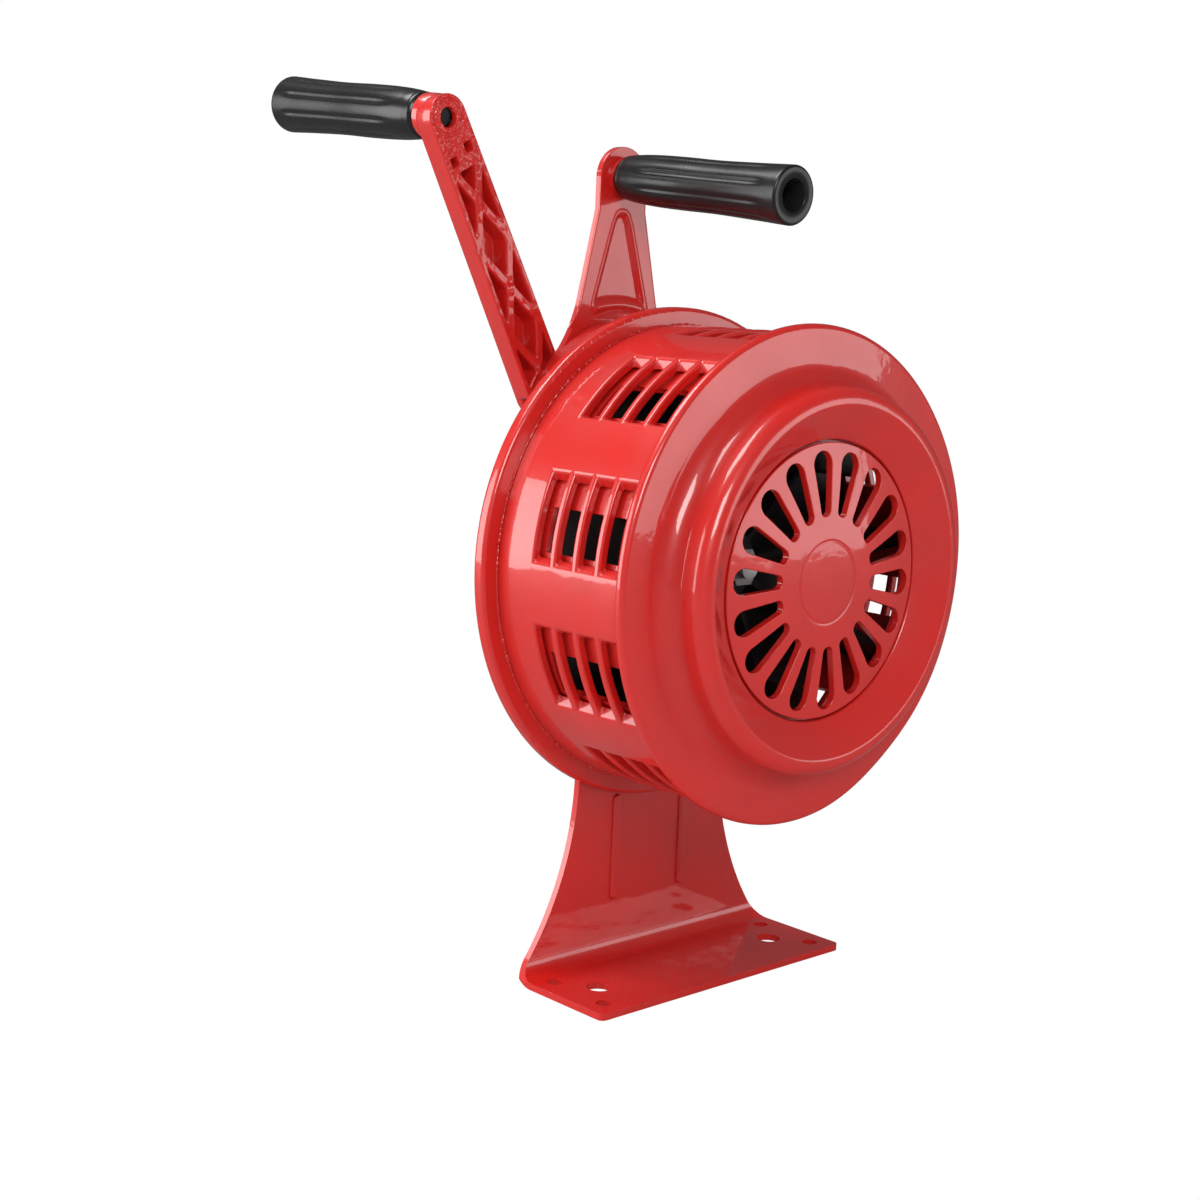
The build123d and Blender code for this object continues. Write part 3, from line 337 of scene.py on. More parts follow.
brass = paint("bushBrass", (0.72, 0.5, 0.2, 1), (0.55, 0.36, 0.13, 1), {**bareMetal, "roughHigh": 0.45})
blackOxide = paint(
    "blackOxide", (0.03, 0.03, 0.032, 1), (0.02, 0.02, 0.022, 1),
    {**bareMetal, "roughLow": 0.3, "roughHigh": 0.45},
)
print("materials ready")

bySlot = {
    "red_paint": redPaint, "black_paint": blackPaint, "black_plastic": blackPlastic, "steel": steel,
    "brass": brass,
}
for part in frame["record"]["subparts"]:
    mesh = frame["nodes"][part["node"]].data
    mesh.materials.clear()
    isGripBolt = part["node"].endswith("grip_bolt")
    mesh.materials.append(blackOxide if isGripBolt else bySlot[part["material_slot"]])

# front cover, spun from sheet: rim, flat disc, collar, crest, funnel and throat
cover = {
    "spigot": 101.3, "spigotDepth": 2.5, "spigotWall": 2.0, "rim": 110.0, "collar": 84.5,
    "collarFillet": 10.0, "crestRound": 6.0, "crestRadius": 76.9, "throat": 61.5, "throatDepth": 9.5,
    "wall": 3.0, "ledge": 2.9, "ledgeThickness": 2.5, "grilleEdge": 3.5, "columns": 288,
    "crestStep": 0.4, "innerEase": 0.2, "bendStart": 92.5, "rimWave": 0.175, "dentAngle": 145.0,
    "dentWidth": 16.0, "dent": 0.7,
}


# closed profile spun round the axis; the rim bends by small sines of the angle and one wide dent
def makeFrontCover(v):
    throatFront = drum["crest"] + v["throatDepth"]
    ledgeFront = throatFront + v["grilleEdge"]
    ledgeBack = ledgeFront + v["ledgeThickness"]
    insideCollar = v["collar"] - v["wall"]
    profile = roundedProfile([  # radius, Y and rounding of each corner
        (v["spigot"], drum["front"] + v["spigotDepth"], 0.4),
        (v["spigot"], drum["front"], 0.1),
        (v["rim"], drum["front"], 2.0),
        (v["rim"], drum["rimFace"], 2.4),
        (v["collar"], drum["rimFace"], v["collarFillet"]),
        (v["collar"], drum["crest"], v["crestRound"]),
        (v["crestRadius"], drum["crest"], 2.5),
        (v["throat"], throatFront, 1.5),
        (v["throat"], ledgeFront, 0.3),
        (v["throat"] - v["ledge"], ledgeFront, 0.4),
        (v["throat"] - v["ledge"], ledgeBack, 0.4),
        (v["throat"] + v["wall"], ledgeBack, 0.8),
        (v["throat"] + v["wall"], throatFront + v["wall"] / 2, 1.0),
        (v["crestRadius"] + v["crestStep"], drum["crest"] + v["wall"], 1.5),
        (insideCollar, drum["crest"] + v["wall"], v["crestRound"] - v["wall"] - v["innerEase"]),
        (insideCollar, drum["rimFace"] + v["wall"], v["collarFillet"] + v["wall"]),
        (v["spigot"] - v["spigotWall"], drum["rimFace"] + v["wall"], 0.5),
        (v["spigot"] - v["spigotWall"], drum["front"] + v["spigotDepth"], 0.4),
    ])
    angle = np.linspace(0, 2 * np.pi, v["columns"], endpoint=False)[None, :]
    radius, y = profile[:, :1], profile[:, 1:]
    reach = np.clip((radius - v["bendStart"]) / (v["rim"] - v["bendStart"]), 0, 1) ** 2
    wave = v["rimWave"] * (np.sin(3 * angle + 0.6) + 0.6 * np.sin(7 * angle + 2.0))
    dent = v["dent"] * bell(np.degrees(angle), v["dentAngle"], v["dentWidth"])
    points = aroundDrum(radius - reach * dent, y + reach * (wave + dent), angle)
    faces = gridFaces(len(profile), v["columns"], True, True)
    linkMesh("frontCover", points, faces, "root", redPaint, ("front_cover",))


makeFrontCover(cover)
print("front cover made")

# drum wall with its windows, each four slots between painted bars
wall = {
    "inside": 101.5, "flangeInside": 88.0, "flange": 4.0, "windows": 10, "turn": 3.9,
    "outerHalf": 10.85, "innerHalf": 9.07, "inset": 3.8, "slots": 4, "slot": 10.0, "bar": 3.6,
    "windowColumns": 8, "pierColumns": 6, "pierRows": 4, "edge": 1.25, "edgeSteps": 4, "sharpAngle": 40,
}


# angles of the grid's columns: even across each window, then even across the pier up to the next
def drumColumns(half, v):
    pitch = 360 / v["windows"]
    across = np.linspace(-1, 1, v["windowColumns"] + 1)
    between = np.linspace(0, 1, v["pierColumns"] + 1)[1:-1]
    one = np.concatenate([across * half, half + between * (pitch - 2 * half)])
    return -np.radians((one[None, :] + v["turn"] + pitch * np.arange(v["windows"])[:, None]).ravel())


# grid of a closed profile turned round the axis; slot cells are left out and their edges are walled
def makeDrum(v):
    slotY = drum["front"] + v["inset"] + np.arange(v["slots"]) * (v["slot"] + v["bar"])
    slotY = np.stack([slotY, slotY + v["slot"]], 1).ravel()
    pier = np.linspace(slotY[-1], drum["back"], v["pierRows"] + 1)[1:]
    outerY = np.concatenate([[drum["front"]], slotY, pier])
    flangeFront = drum["back"] - v["flange"]
    innerY = np.concatenate([[flangeFront, (flangeFront + slotY[-1]) / 2], slotY[::-1], [drum["front"]]])
    y = np.concatenate([outerY, [drum["back"], flangeFront], innerY])
    innerR = np.full(len(innerY), v["inside"])
    radius = np.concatenate([np.full(len(outerY), drum["radius"]), [v["flangeInside"]] * 2, innerR])
    isOuter = (radius == drum["radius"])[:, None]
    angle = np.where(isOuter, drumColumns(v["outerHalf"], v), drumColumns(v["innerHalf"], v))
    width = angle.shape[1]
    perWindow = width // v["windows"]
    faces = np.array(gridFaces(len(y), width, True, True))
    row, column = faces[:, 0] // width, faces[:, 0] % width
    outerSlots = 1 + 2 * np.arange(v["slots"])
    innerSlots = len(y) - 2 - outerSlots
    inSlot = np.isin(row, np.concatenate([outerSlots, innerSlots]))
    faces = faces[~(inSlot & (column % perWindow < v["windowColumns"]))]
    walls = []
    for front, mirrored in zip(outerSlots, innerSlots):
        back, innerFront, innerBack = front + 1, mirrored + 1, mirrored
        for window in range(v["windows"]):
            first = window * perWindow
            last = first + v["windowColumns"]
            j = np.arange(first, last)
            for outside, inside in ((front, innerFront), (back, innerBack)):
                a, b = outside * width + j, inside * width + j
                walls.append(np.stack([a, a + 1, b + 1, b], 1))
            for end in (first, last):
                walls.append(np.array([[front, back, innerBack, innerFront]]) * width + end)
    faces = np.concatenate([faces] + walls).tolist()
    points = aroundDrum(radius[:, None], y[:, None], angle)
    piece = linkMesh("statorDrum", points, faces, "root", redPaint, ("stator_drum",))
    roundEdges(piece, v["edge"], v["edgeSteps"], v["sharpAngle"])


makeDrum(wall)
print("drum made")

# plastic grips; a station is a distance from the inner end and the radius there
grip = {
    "length": 105.0, "tilt": 4.7, "boltHole": 4.05, "bore": 7.2, "boreDepth": 20.0, "boreRound": 0.3,
    "sinkRound": 0.05, "rim": 1.3,
    "stations": (
        (0.0, 8.0), (0.9, 9.4), (4, 10.35), (10, 11.05), (20, 11.65), (38, 11.95), (60, 11.85), (82, 12.35),
        (103.7, 13.0),
    ),
    "flutes": 9, "fluteDepth": 0.42, "fluteWidth": 0.35, "fluteStart": 12.0, "fluteRise": 14.0,
    "fluteFall": 12.0, "fluteEnd": 100.0, "columns": 216, "rows": 150, "endRows": 24, "endLength": 10.0,
    "sharpAngle": 50, "carrySeat": (0, 66.1, 367.3), "carryGap": 2.3,
    "crankSeat": (-100.898, 71.0, 386.234), "crankGap": 15.3,
}


# radius along the grip is a smooth curve; narrow creases repeat round it and fade at both ends
def makeGrip(name, node, body, seat, direction, v):
    straight = v["length"] - v["rim"]
    along = np.concatenate([
        np.linspace(0, v["endLength"], v["endRows"], endpoint=False),
        np.linspace(v["endLength"], straight, v["rows"]),
    ])
    radius = smoothCurve(along, v["stations"])
    quarter = np.linspace(0, np.pi / 2, 7)[1:]
    rimS = straight + v["rim"] * np.sin(quarter)
    rimR = radius[-1] - v["rim"] + v["rim"] * np.cos(quarter)
    sink = v["length"] - v["boreDepth"]
    mouth = v["boreRound"]
    boreS = np.array([v["length"], v["length"] - mouth, sink + v["sinkRound"], sink, sink, 0.0])
    boreR = np.array([v["bore"] + mouth, v["bore"], v["bore"], v["bore"], v["boltHole"], v["boltHole"]])
    profileS = np.concatenate([along, rimS, boreS])
    profileR = np.concatenate([radius, rimR, boreR])
    angle = np.linspace(0, 2 * np.pi, v["columns"], endpoint=False)
    wave = np.cos(v["flutes"] * angle)
    crease = np.clip(wave, 0, 1) ** 3 + v["fluteWidth"] * (0.5 + 0.5 * wave)
    rise = softStep(profileS, v["fluteStart"], v["fluteStart"] + v["fluteRise"])
    fade = rise * (1 - softStep(profileS, v["fluteEnd"] - v["fluteFall"], v["fluteEnd"]))
    fade[len(along):] = 0
    cut = fade[:, None] * v["fluteDepth"] * crease[None, :]
    points = aroundLine(seat, direction, profileS, profileR[:, None] - cut, angle)
    faces = gridFaces(len(profileS), v["columns"], True, True)
    piece = linkMesh(name, points, faces, body, blackPlastic, (node,))
    piece.data.set_sharp_from_angle(angle=math.radians(v["sharpAngle"]))


tilt = math.radians(grip["tilt"])
crankAxis = Vector((0, math.cos(tilt), math.sin(tilt)))
carrySeat = Vector(grip["carrySeat"]) - crankAxis * grip["carryGap"]
crankSeat = Vector(grip["crankSeat"]) + crankAxis * grip["crankGap"]
makeGrip("carryGrip", "carry_grip", "root", carrySeat, -crankAxis, grip)
makeGrip("crankGrip", "crank_grip", "crank_grip", crankSeat, crankAxis, grip)
print("grips made")

# grille: domed disc with tapered slots round a plain middle, which has a fine ring
grille = {
    "front": -70.0, "thickness": 3.5, "dome": 3.0, "radius": 60.4, "slots": 18, "turn": 4.0,
    "inner": 28.7, "outer": 57.2, "narrow": 3.0, "wide": 5.7, "slotColumns": 8, "barColumns": 4,
    "ring": 18.0, "ringWidth": 1.1, "ringSteps": (-1.0, -0.6, -0.25, 0.25, 0.6, 1.0), "ringShare": 0.6,
    "ringDepth": 0.35, "innerRows": (0.01, 6.0, 12.0), "outerRows": (22.0, 25.5), "middleHalf": 0.05,
    "edgeRing": 58.3, "edgeHalf": 3.0, "pole": 4.0, "edge": 0.8, "edgeSteps": 3, "sharpAngle": 50,
}


# half the slot's width along its length: a small circle, a straight taper and a large circle
def slotShape(v):
    smallAt, largeAt = v["inner"] + v["narrow"], v["outer"] - v["wide"]
    slope = (v["wide"] - v["narrow"]) / (largeAt - smallAt)
    ends = np.linspace(0, np.pi / 2, 6)
    inner = smallAt - v["narrow"] * np.cos(ends)
    outer = largeAt + v["wide"] * np.sin(ends[1:])
    radius = np.concatenate([inner, np.linspace(smallAt, largeAt, 8)[1:], outer])
    small = np.sqrt(np.clip(v["narrow"] ** 2 - (smallAt - radius) ** 2, 0, None))
    large = np.sqrt(np.clip(v["wide"] ** 2 - (radius - largeAt) ** 2, 0, None))
    taper = v["narrow"] + slope * (radius - smallAt)
    return radius, np.select([radius < smallAt, radius > largeAt], [small, large], taper)


# rings of points on two domes; the cells inside the slots are left out and their sides are walled
def makeGrille(v):
    slotR, halfWidth = slotShape(v)
    ringR = v["ring"] + v["ringWidth"] * np.array(v["ringSteps"])
    middleR = np.concatenate([v["innerRows"], ringR, v["outerRows"]])
    edgeR = [v["edgeRing"], v["radius"]]
    radius = np.concatenate([middleR, slotR, edgeR])
    middleHalf = np.full(len(middleR), v["middleHalf"])
    half = np.concatenate([middleHalf, halfWidth, np.full(len(edgeR), v["edgeHalf"])])
    pitch = 2 * np.pi / v["slots"]
    opening = np.arcsin(half / np.maximum(radius, v["pole"]))[:, None]
    across = np.linspace(-1, 1, v["slotColumns"] + 1)[None, :]
    between = np.linspace(0, 1, v["barColumns"] + 1)[None, 1:-1]
    one = np.concatenate([across * opening, opening + between * (pitch - 2 * opening)], 1)
    turns = -np.pi / 2 + math.radians(v["turn"]) + pitch * np.arange(v["slots"])
    angle = (one[:, None, :] + turns[None, :, None]).reshape(len(radius), -1)
    domeRadius = (v["radius"] ** 2 + v["dome"] ** 2) / (2 * v["dome"])
    rise = np.sqrt(domeRadius**2 - radius**2) - (domeRadius - v["dome"])
    fromRing = np.abs(radius - v["ring"]) / (v["ringShare"] * v["ringWidth"])
    dip = v["ringDepth"] * np.clip(1 - fromRing, 0, 1)
    frontY = v["front"] - rise + dip
    backY = v["front"] + v["thickness"] - rise
    radius = np.concatenate([radius, radius[::-1]])
    y = np.concatenate([frontY, backY[::-1]])
    angle = np.concatenate([angle, angle[::-1]])
    width = angle.shape[1]
    perSlot = width // v["slots"]
    faces = np.array(gridFaces(len(y), width, False, True))
    row, column = faces[:, 0] // width, faces[:, 0] % width
    first, last = len(middleR), len(middleR) + len(slotR) - 1
    mirrored = len(y) - 2 - row
    inRows = ((row >= first) & (row < last)) | ((mirrored >= first) & (mirrored < last))
    faces = faces[~(inRows & (column % perSlot < v["slotColumns"]))]
    walls = []
    rows = np.arange(first, last)
    for slot in range(v["slots"]):
        for side in (slot * perSlot, slot * perSlot + v["slotColumns"]):
            corners = (rows, rows + 1, len(y) - 2 - rows, len(y) - 1 - rows)
            walls.append(np.stack(corners, 1) * width + side)
    faces = np.concatenate([faces] + walls).tolist()
    points = aroundDrum(radius[:, None], y[:, None], angle)
    piece = linkMesh("inletGrille", points, faces, "root", redPaint, ("inlet_grille",))
    roundEdges(piece, v["edge"], v["edgeSteps"], v["sharpAngle"])


makeGrille(grille)
print("grille made")

# crank arm: open cells between crossed ribs; s runs from the foot's centre to the head, n across
arm = {
    "x": -37.5, "z": 267.5, "front": 71.0, "back": 82.0, "length": 134.6, "lean": 28.1,
    "footRadius": 12.0, "headRadius": 10.2, "rim": 2.6, "depth": 8.0, "hole": 4.1, "holeDepth": 9.0,
    "holeRound": 0.35, "holeLip": 0.1, "edge": 1.1, "edgeShare": 0.45, "tip": 0.02, "rows": 430,
    "columns": 66, "endRows": 0.34475, "backShare": 0.8, "backColumns": 7,
}
ribs = {
    "width": 4.0, "pitch": 41.5, "firstCrossing": 12.0, "angle": 23.6, "reach": 0.75, "endRound": 0.5,
    "latticeStart": -1.0, "latticeEnd": 110.5, "foot": 11.3, "corner": 0.55, "hub": 10.0,
    "hubCutEnd": 3.0, "hubCorner": 0.3, "smallPockets": ((-5.0, 115.9), (5.0, 119.1)),
    "smallPocket": 2.0, "draftStart": -0.45, "draftEnd": 1.7,
}
casting = {
    "solidDepth": 1.5, "headFrom": 108, "headTo": 118, "headSink": 0.24, "headLumps": 0.2,
    "headFine": 0.14, "lumpSeed": 4, "lumpWaves": (3.0, 9.0), "fineSeed": 9, "fineWaves": (1.6, 4.0),
    "ring": 7.6, "ringWidth": 0.7, "ringDepth": 0.5, "faceSink": 0.12, "dropAside": 0.4,
    "dropAlong": 2.2, "dropRadius": 1.5, "dropHeight": 0.45, "proudest": -0.35,
}
boss = {
    "start": 7.0, "step": 8.0, "end": 14.95, "inset": 0.25, "taper": 0.35, "chamferWidth": 0.95,
    "chamferDepth": 1.05, "columns": 96, "sharpAngle": 40,
}
crossings = np.arange(ribs["firstCrossing"], ribs["latticeEnd"], ribs["pitch"])


# how far each point lies outside each rib; a rib ends rounded at a share of the pitch from its crossing
def ribDistances(n, s, v):
    heading = math.radians(v["angle"])
    distances = []
    for crossing in crossings:
        past = np.abs(s - crossing) - v["reach"] * v["pitch"]
        for side in (-1, 1):
            across = n * math.cos(heading) - side * (s - crossing) * math.sin(heading)
            away = np.abs(across) - v["width"] / 2
            distances.append(np.where(past > 0, np.hypot(np.maximum(away, 0), past) + v["endRound"], away))
    return distances


# how deep a point lies inside an opening of the front: a cell, a small pocket or the cut round the hub
def openingDistance(n, s, half, v):
    around = np.hypot(n, s)
    sides = [half - arm["rim"] - np.abs(n), v["latticeEnd"] - s, around - v["foot"], s - v["latticeStart"]]
    cell = smoothLeast(ribDistances(n, s, v) + sides, v["corner"])
    hubCut = smoothLeast([v["hubCutEnd"] - s, around - v["hub"]], v["hubCorner"])
    pockets = [
        v["smallPocket"] - np.maximum(np.abs(n - aside), np.abs(s - along))
        for aside, along in v["smallPockets"]
    ]
    return np.maximum.reduce([cell, hubCut] + pockets)


# the cast skin on what is solid: seeded lumps, a ring round the hole and drops of paint at the crossings
def castSkin(n, s, depth, hole, v):
    solid = 1 - softStep(depth, 0, v["solidDepth"])
    nearHead = softStep(s, v["headFrom"], v["headTo"])
    lumps = roughness(n, s, v["lumpSeed"], *v["lumpWaves"])
    fine = roughness(n, s, v["fineSeed"], *v["fineWaves"])
    rough = v["headSink"] + v["headLumps"] * lumps + v["headFine"] * fine
    ring = v["ringDepth"] * bell(hole, v["ring"], v["ringWidth"])
    depth = depth + solid * (nearHead * (rough + ring) + (1 - nearHead) * v["faceSink"] * (1 + lumps))
    for crossing in crossings:
        for side in (-1, 1):
            drop = np.hypot(n - side * v["dropAside"], s - crossing - side * v["dropAlong"])
            depth = depth - solid * v["dropHeight"] * bell(drop, 0, v["dropRadius"])
    return np.clip(depth, v["proudest"], None)


# depth of the front below its plane, from the distance inside an opening and from the hole
def armDepth(n, s, half):
    inside = openingDistance(n, s, half, ribs)
    depth = arm["depth"] * softStep(inside, ribs["draftStart"], ribs["draftEnd"])
    hole = np.hypot(n, s - arm["length"])
    holeStep = softStep(-hole, -arm["hole"] - arm["holeRound"], -arm["hole"] + arm["holeLip"])
    return castSkin(n, s, np.maximum(depth, arm["holeDepth"] * holeStep), hole, casting)


# half the arm's width along it: the round foot, straight sides tangent to both ends and the round head
def armHalfWidth(s, v):
    k = (v["footRadius"] - v["headRadius"]) / v["length"]
    side = np.minimum((v["footRadius"] - k * s) / math.sqrt(1 - k * k), v["footRadius"])
    foot = np.sqrt(np.clip(v["footRadius"] ** 2 - s**2, 0, None))
    head = np.sqrt(np.clip(v["headRadius"] ** 2 - (s - v["length"]) ** 2, 0, None))
    half = np.where(s < v["footRadius"] * k, foot, np.where(s > v["length"], head, side))
    half[[0, -1]] = v["tip"]
    return half


# closed loops across the arm, one per station along it: front face, rounded edges, sides and back
def makeArm(v):
    t = np.linspace(0, 1, v["rows"])
    low, high = -v["footRadius"], v["length"] + v["headRadius"]
    s = low + (high - low) * (t - v["endRows"] * np.sin(2 * np.pi * t) / (2 * np.pi))
    half = armHalfWidth(s, v)[:, None]
    edge = np.minimum(v["edge"], v["edgeShare"] * half)
    flat = (half - edge) * np.linspace(-1, 1, v["columns"])[None, :]
    depth = armDepth(flat, s[:, None], half)
    quarter = np.linspace(0, np.pi / 2, 5)[1:][None, :]
    backQuarter = np.linspace(np.pi / 2, 0, 4)[None, :]
    width = v["back"] - v["front"]
    sideN = half - edge + edge * np.sin(np.concatenate([quarter, backQuarter], 1))
    backY = width - edge + edge * np.cos(backQuarter)
    rolled = edge * (1 - np.cos(quarter))
    leftY, rightY = (
        np.concatenate([np.maximum(rolled, edgeDepth * (1 - quarter / np.pi)), backY], 1)
        for edgeDepth in (depth[:, :1], depth[:, -1:])
    )
    backN = (half - edge) * np.linspace(v["backShare"], -v["backShare"], v["backColumns"])[None, :]
    n = np.concatenate([flat, sideN, backN, -sideN[:, ::-1]], 1)
    y = np.concatenate([depth, rightY, np.full_like(backN, width), leftY[:, ::-1]], 1)
    lean = math.radians(v["lean"])
    x = v["x"] + n * math.cos(lean) - s[:, None] * math.sin(lean)
    z = v["z"] + n * math.sin(lean) + s[:, None] * math.cos(lean)
    points = np.stack([x, v["front"] + y, z], 2).reshape(-1, 3)
    faces = gridFaces(n.shape[0], n.shape[1], False, True)
    linkMesh("crankArm", points, faces, "crank", redPaint, ("crank_arm",))


# round boss behind the arm's head, turned about the grip's tilted axis
def makeArmBoss(v):
    outside = arm["headRadius"] - v["inset"]
    profile = np.array([
        (outside - v["taper"], v["start"]),
        (outside, v["step"]),
        (outside, v["end"] - v["chamferDepth"]),
        (outside - v["chamferWidth"], v["end"]),
        (arm["hole"], v["end"]),
        (arm["hole"], v["start"]),
    ])
    lean = math.radians(arm["lean"])
    across, up = arm["length"] * math.sin(lean), arm["length"] * math.cos(lean)
    seat = (arm["x"] - across, arm["front"], arm["z"] + up)
    angle = np.linspace(0, 2 * np.pi, v["columns"], endpoint=False)
    points = aroundLine(seat, crankAxis, profile[:, 1], profile[:, :1], angle)
    faces = gridFaces(len(profile), v["columns"], True, True)
    piece = linkMesh("armBoss", points, faces, "crank", redPaint, ("crank_arm",))
    piece.data.set_sharp_from_angle(angle=math.radians(v["sharpAngle"]))


makeArm(arm)
makeArmBoss(boss)
print("arm made")

# front of the neck, with its pressed panel and curved rib; heights are from the housing's centre
neck = {
    "centre": 251.0, "front": 66.1, "halfWidth": 14.75, "straightTop": 115.5, "straightBottom": 101.0,
    "flareX": 24.0, "flareZ": 60.0, "bow": 0.021, "start": 46.0, "skin": 0.12, "wrap": 0.75,
    "wrapShare": 0.45, "wrapLeast": 0.01, "wrapLift": 0.06, "rows": 190, "rowPower": 0.9, "columns": 90,
}
panel = {
    "top": 100.0, "topRound": 4.8, "bottom": 51.0, "bottomHalf": 17.5, "corner": 2.0, "depth": 1.8,
    "slope": 2.4, "blend": 0.5, "lip": 0.25, "lipPlace": -0.9, "lipWidth": 0.8, "rib": 57.0,
    "ribFoot": 2.2, "ribWidth": 1.7, "ribHeight": 0.9, "ribFade": 3.5, "far": 50.0,
}


# how far the face is pressed in: a smooth step over the distance inside the panel, less lip and rib
def neckDip(x, z, v):
    topZ, cornerZ = v["top"] - v["topRound"], v["bottom"] + v["corner"]
    cornerX = v["bottomHalf"] - v["corner"]
    length = math.hypot(cornerX, cornerZ - topZ)
    sine = (v["topRound"] - v["corner"]) / length
    cosine = math.sqrt(1 - sine * sine)
    alongX, alongZ = cornerX / length, (cornerZ - topZ) / length
    normalX, normalZ = -alongZ * cosine + alongX * sine, alongX * cosine + alongZ * sine
    aside = np.abs(x)
    side = v["topRound"] - (normalX * aside + normalZ * (z - topZ))
    top = np.where(z > topZ, v["topRound"] - np.hypot(x, z - topZ), v["far"])
    out = np.hypot(x, z)
    inside = smoothLeast([side, top, out - v["rib"] - v["ribFoot"]], v["blend"])
    dip = v["depth"] * softStep(inside, 0.0, v["slope"])
    lip = v["lip"] * bell(inside, v["lipPlace"], v["lipWidth"])
    ribFade = 1 - softStep(aside, v["bottomHalf"] - v["ribFade"], v["bottomHalf"])
    return dip - lip - v["ribHeight"] * bell(out, v["rib"], v["ribWidth"]) * ribFade


# grid over the neck's face from under the drum's plate up to its round top, wrapped over its edges
def makeNeck(v):
    top = v["straightTop"] + v["halfWidth"]
    t = np.linspace(0, 1, v["rows"])
    z = v["start"] + (top - v["start"]) * np.sin(t * np.pi / 2) ** v["rowPower"]
    slope = (v["flareX"] - v["halfWidth"]) / (v["straightBottom"] - v["flareZ"])
    bow = v["bow"] * np.clip(v["flareZ"] - z, 0, None) ** 2
    flare = v["halfWidth"] + (v["straightBottom"] - z) * slope + bow
    head = np.sqrt(np.clip(v["halfWidth"] ** 2 - (z - v["straightTop"]) ** 2, 0, None))
    half = np.where(z > v["straightBottom"], v["halfWidth"], flare)
    half = np.where(z > v["straightTop"], head, half)[:, None]
    edge = np.minimum(v["wrap"], v["wrapShare"] * half + v["wrapLeast"])
    x = (half - edge) * np.linspace(-1, 1, v["columns"])[None, :]
    y = neckDip(x, z[:, None], panel) - v["skin"]
    quarter = np.linspace(0, np.pi / 2, 5)[1:][None, :]
    wrapX = half - edge + (edge + v["wrapLift"]) * np.sin(quarter)
    wrapY = y[:, -1:] + (edge + v["skin"]) * (1 - np.cos(quarter))
    x = np.concatenate([-wrapX[:, ::-1], x, wrapX], 1)
    y = np.concatenate([wrapY[:, ::-1], y, wrapY], 1)
    height = np.repeat(z[:, None], x.shape[1], 1)
    points = np.stack([x, v["front"] + y, v["centre"] + height], 2).reshape(-1, 3)
    faces = gridFaces(x.shape[0], x.shape[1], False, False)
    linkMesh("neckFace", points, faces, "root", redPaint, facing=Vector((0, -1, 0)))


makeNeck(neck)
print("neck made")

# sheet pieces with their edges rounded by paint; the plate's rim stays tighter
softened("baseBracket", "base_bracket", redPaint, 0.7, softEdge)
softened("rearPlate", "rear_plate", redPaint, 0.3, softEdge)

seam = {
    "radius": 106.4, "size": 0.75, "rough": 0.38, "least": 0.1, "most": 1.5, "seed": 33,
    "waves": (0.9, 5.0), "inset": 0.6, "sink": 0.2, "flatten": 0.8, "columns": 1200, "around": 10,
}


# thin uneven bead of paint where the drum wall meets the plate: a ring whose section swells at random
def makeSeam(v):
    angle = np.linspace(0, 2 * np.pi, v["columns"], endpoint=False)[:, None]
    turn = np.linspace(0, 2 * np.pi, v["around"], endpoint=False)[None, :]
    swell = v["size"] + v["rough"] * roughness(angle * v["radius"], 0 * angle, v["seed"], *v["waves"])
    swell = np.clip(swell, v["least"], v["most"])
    radius = v["radius"] - v["inset"] + swell * np.cos(turn)
    y = drum["back"] + v["sink"] - v["flatten"] * swell * np.sin(turn)
    faces = gridFaces(v["columns"], v["around"], True, True)
    linkMesh("plateSeam", aroundDrum(radius, y, angle), faces, "root", redPaint)


makeSeam(seam)
softened("gearHousing", "gear_housing", castPaint, 0.6, softEdge)
softened("housingCover", "housing_cover", redPaint, 0.7, softEdge)
print("softened pieces made")

# studio: lens, sensor and the camera's place in millimetres, angles in degrees, lamps in metres and watts
studio = {
    "lens": 58.59, "sensor": 36, "nearest": 0.05, "farthest": 20, "azimuth": -43.08, "elevation": 9.20,
    "roll": 2.38, "distance": 949.2, "target": (0, 70.6, 166.13), "ambient": 0.5, "glossy": 0.1,
    "floorHalf": 4, "floorColour": 0.85, "floorRoughness": 0.9, "floorLift": 1.0, "floorMirrored": 0.16,
    "middle": (0, 0, 0.2),
}
softboxes = {
    "backLeftBox": {"place": (-1.5, 1.0, 0.25), "width": 1.3, "height": 1.5, "power": 26},
    "keyBox": {"place": (-1.1, -1.5, 1.15), "width": 0.75, "height": 0.75, "power": 17},
    "topBox": {"place": (-0.5, 0.5, 1.6), "width": 1.0, "height": 0.7, "power": 17},
    "frontRightBox": {"place": (1.3, -1.5, 0.25), "width": 0.9, "height": 0.9, "power": 6},
}


# camera on a sphere round its target, turned about its own line of sight by the roll
def photoCamera(v):
    a, e, r = (math.radians(v[key]) for key in ("azimuth", "elevation", "roll"))
    back = Vector((math.sin(a) * math.cos(e), -math.cos(a) * math.cos(e), math.sin(e)))
    right = Vector((math.cos(a), math.sin(a), 0))
    up = back.cross(right)
    rolledRight = math.cos(r) * right + math.sin(r) * up
    rolledUp = -math.sin(r) * right + math.cos(r) * up
    data = bpy.data.cameras.new("photoCamera")
    data.lens = v["lens"]
    data.sensor_width = v["sensor"]
    data.clip_start = v["nearest"]
    data.clip_end = v["farthest"]
    camera = bpy.data.objects.new("photoCamera", data)
    place = (Vector(v["target"]) + back * v["distance"]) * mm
    axes = Matrix((rolledRight, rolledUp, back)).transposed().to_4x4()
    camera.matrix_world = Matrix.Translation(place) @ axes
    scene.collection.objects.link(camera)
    scene.camera = camera


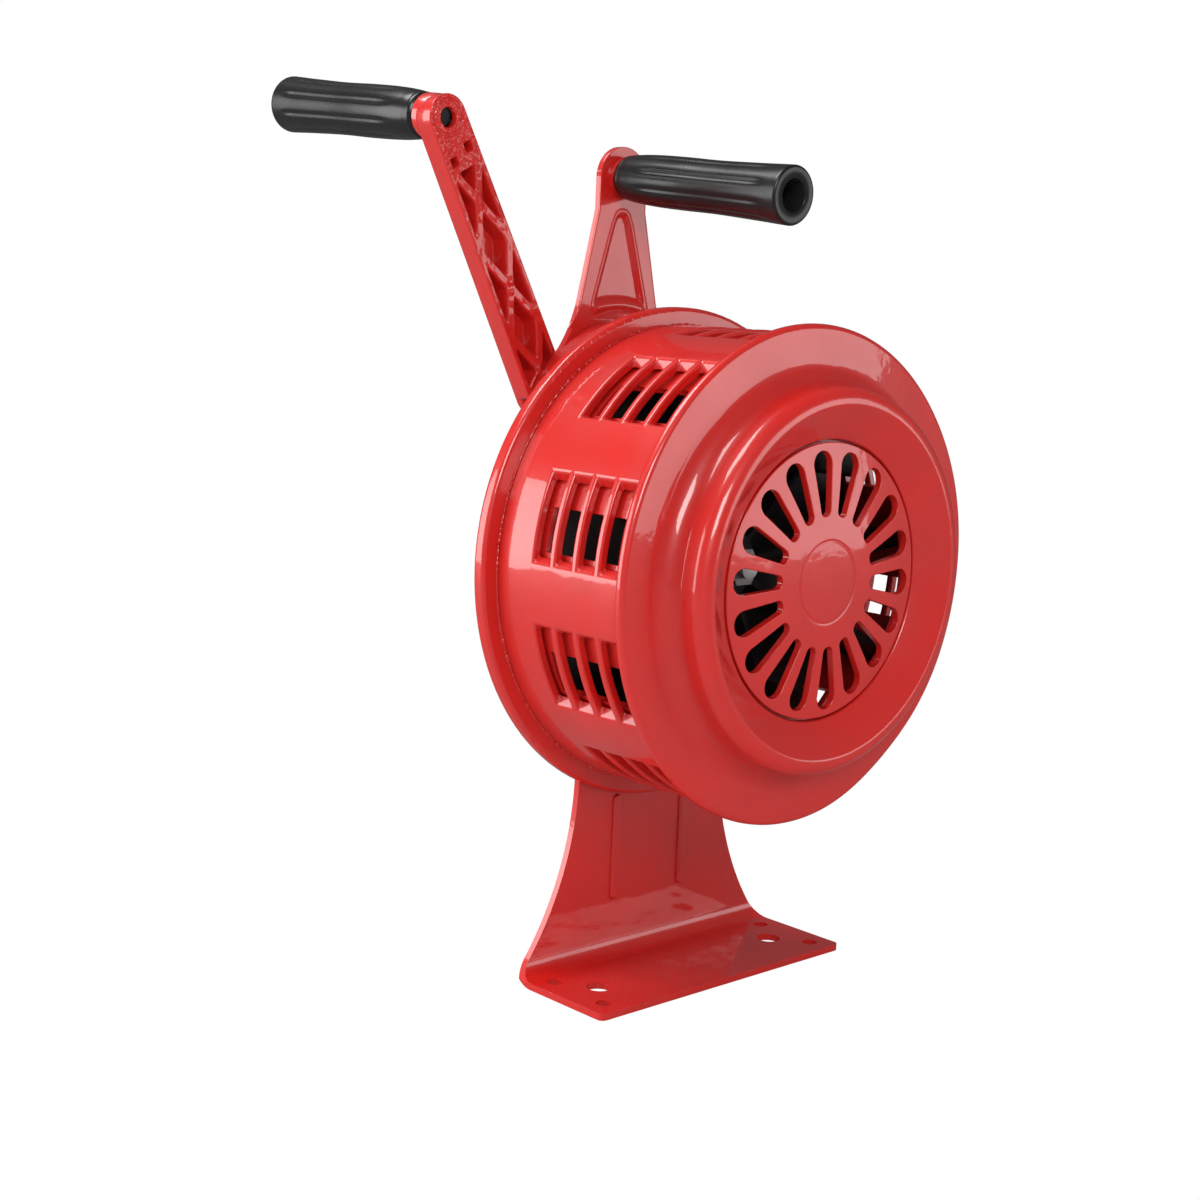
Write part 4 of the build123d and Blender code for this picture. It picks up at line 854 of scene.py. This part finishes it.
def softbox(name, v):
    data = bpy.data.lights.new(name, "AREA")
    data.shape = "RECTANGLE"
    data.size = v["width"]
    data.size_y = v["height"]
    data.energy = v["power"]
    lamp = bpy.data.objects.new(name, data)
    away = Vector(v["place"]) - Vector(studio["middle"])
    lamp.rotation_euler = away.to_track_quat("Z", "Y").to_euler()
    lamp.location = v["place"]
    scene.collection.objects.link(lamp)


# white to the camera, a soft grey as light and a dim one in reflections
def paleWorld(v):
    world = bpy.data.worlds.new("paleWorld")
    scene.world = world
    world.use_nodes = True
    tree = world.node_tree
    path = addNode(tree, "ShaderNodeLightPath")
    isGlossy, isCamera = path.outputs["Is Glossy Ray"], path.outputs["Is Camera Ray"]
    light = addNode(
        tree, "ShaderNodeMapRange", {"Value": isGlossy, "To Min": v["ambient"], "To Max": v["glossy"]},
    )
    seen = addNode(
        tree, "ShaderNodeMath", {0: isCamera, 1: path.outputs["Is Transmission Ray"]}, operation="MAXIMUM",
    )
    strength = addNode(
        tree, "ShaderNodeMix", {"Factor": seen.outputs[0], "A": light.outputs["Result"], "B": 1.0},
        data_type="FLOAT",
    )
    setInputs(tree, tree.nodes["Background"], {
        "Color": (1, 1, 1, 1), "Strength": strength.outputs["Result"],
    })


# pale matt floor that the camera sees lifted to white and that reflections see darker
def paleFloor(v):
    half = v["floorHalf"]
    mesh = bpy.data.meshes.new("floor")
    corners = [(-half, -half, 0), (half, -half, 0), (half, half, 0), (-half, half, 0)]
    mesh.from_pydata(corners, [], [(0, 1, 2, 3)])
    floor = bpy.data.objects.new("floor", mesh)
    scene.collection.objects.link(floor)
    material = bpy.data.materials.new("paleFloor")
    material.use_nodes = True
    tree = material.node_tree
    shader = tree.nodes["Principled BSDF"]
    path = addNode(tree, "ShaderNodeLightPath")
    tint = addNode(
        tree, "ShaderNodeMix",
        {"Factor": path.outputs["Is Glossy Ray"], "A": v["floorColour"], "B": v["floorMirrored"]},
        data_type="FLOAT",
    )
    setInputs(tree, shader, {
        "Base Color": tint.outputs["Result"], "Roughness": v["floorRoughness"], "Specular IOR Level": 0.0,
    })
    glow = addNode(tree, "ShaderNodeEmission", {"Strength": 1.0})
    lift = addNode(
        tree, "ShaderNodeMath", {0: path.outputs["Is Camera Ray"], 1: v["floorLift"]}, operation="MULTIPLY",
    )
    inputs = {0: lift.outputs[0], 1: shader.outputs[0], 2: glow.outputs[0]}
    mixed = addNode(tree, "ShaderNodeMixShader", inputs)
    tree.links.new(mixed.outputs[0], tree.nodes["Material Output"].inputs["Surface"])
    mesh.materials.append(material)


photoCamera(studio)
paleWorld(studio)
paleFloor(studio)
for name, values in softboxes.items():
    softbox(name, values)
scene.view_settings.view_transform = "Standard"
print("studio ready")
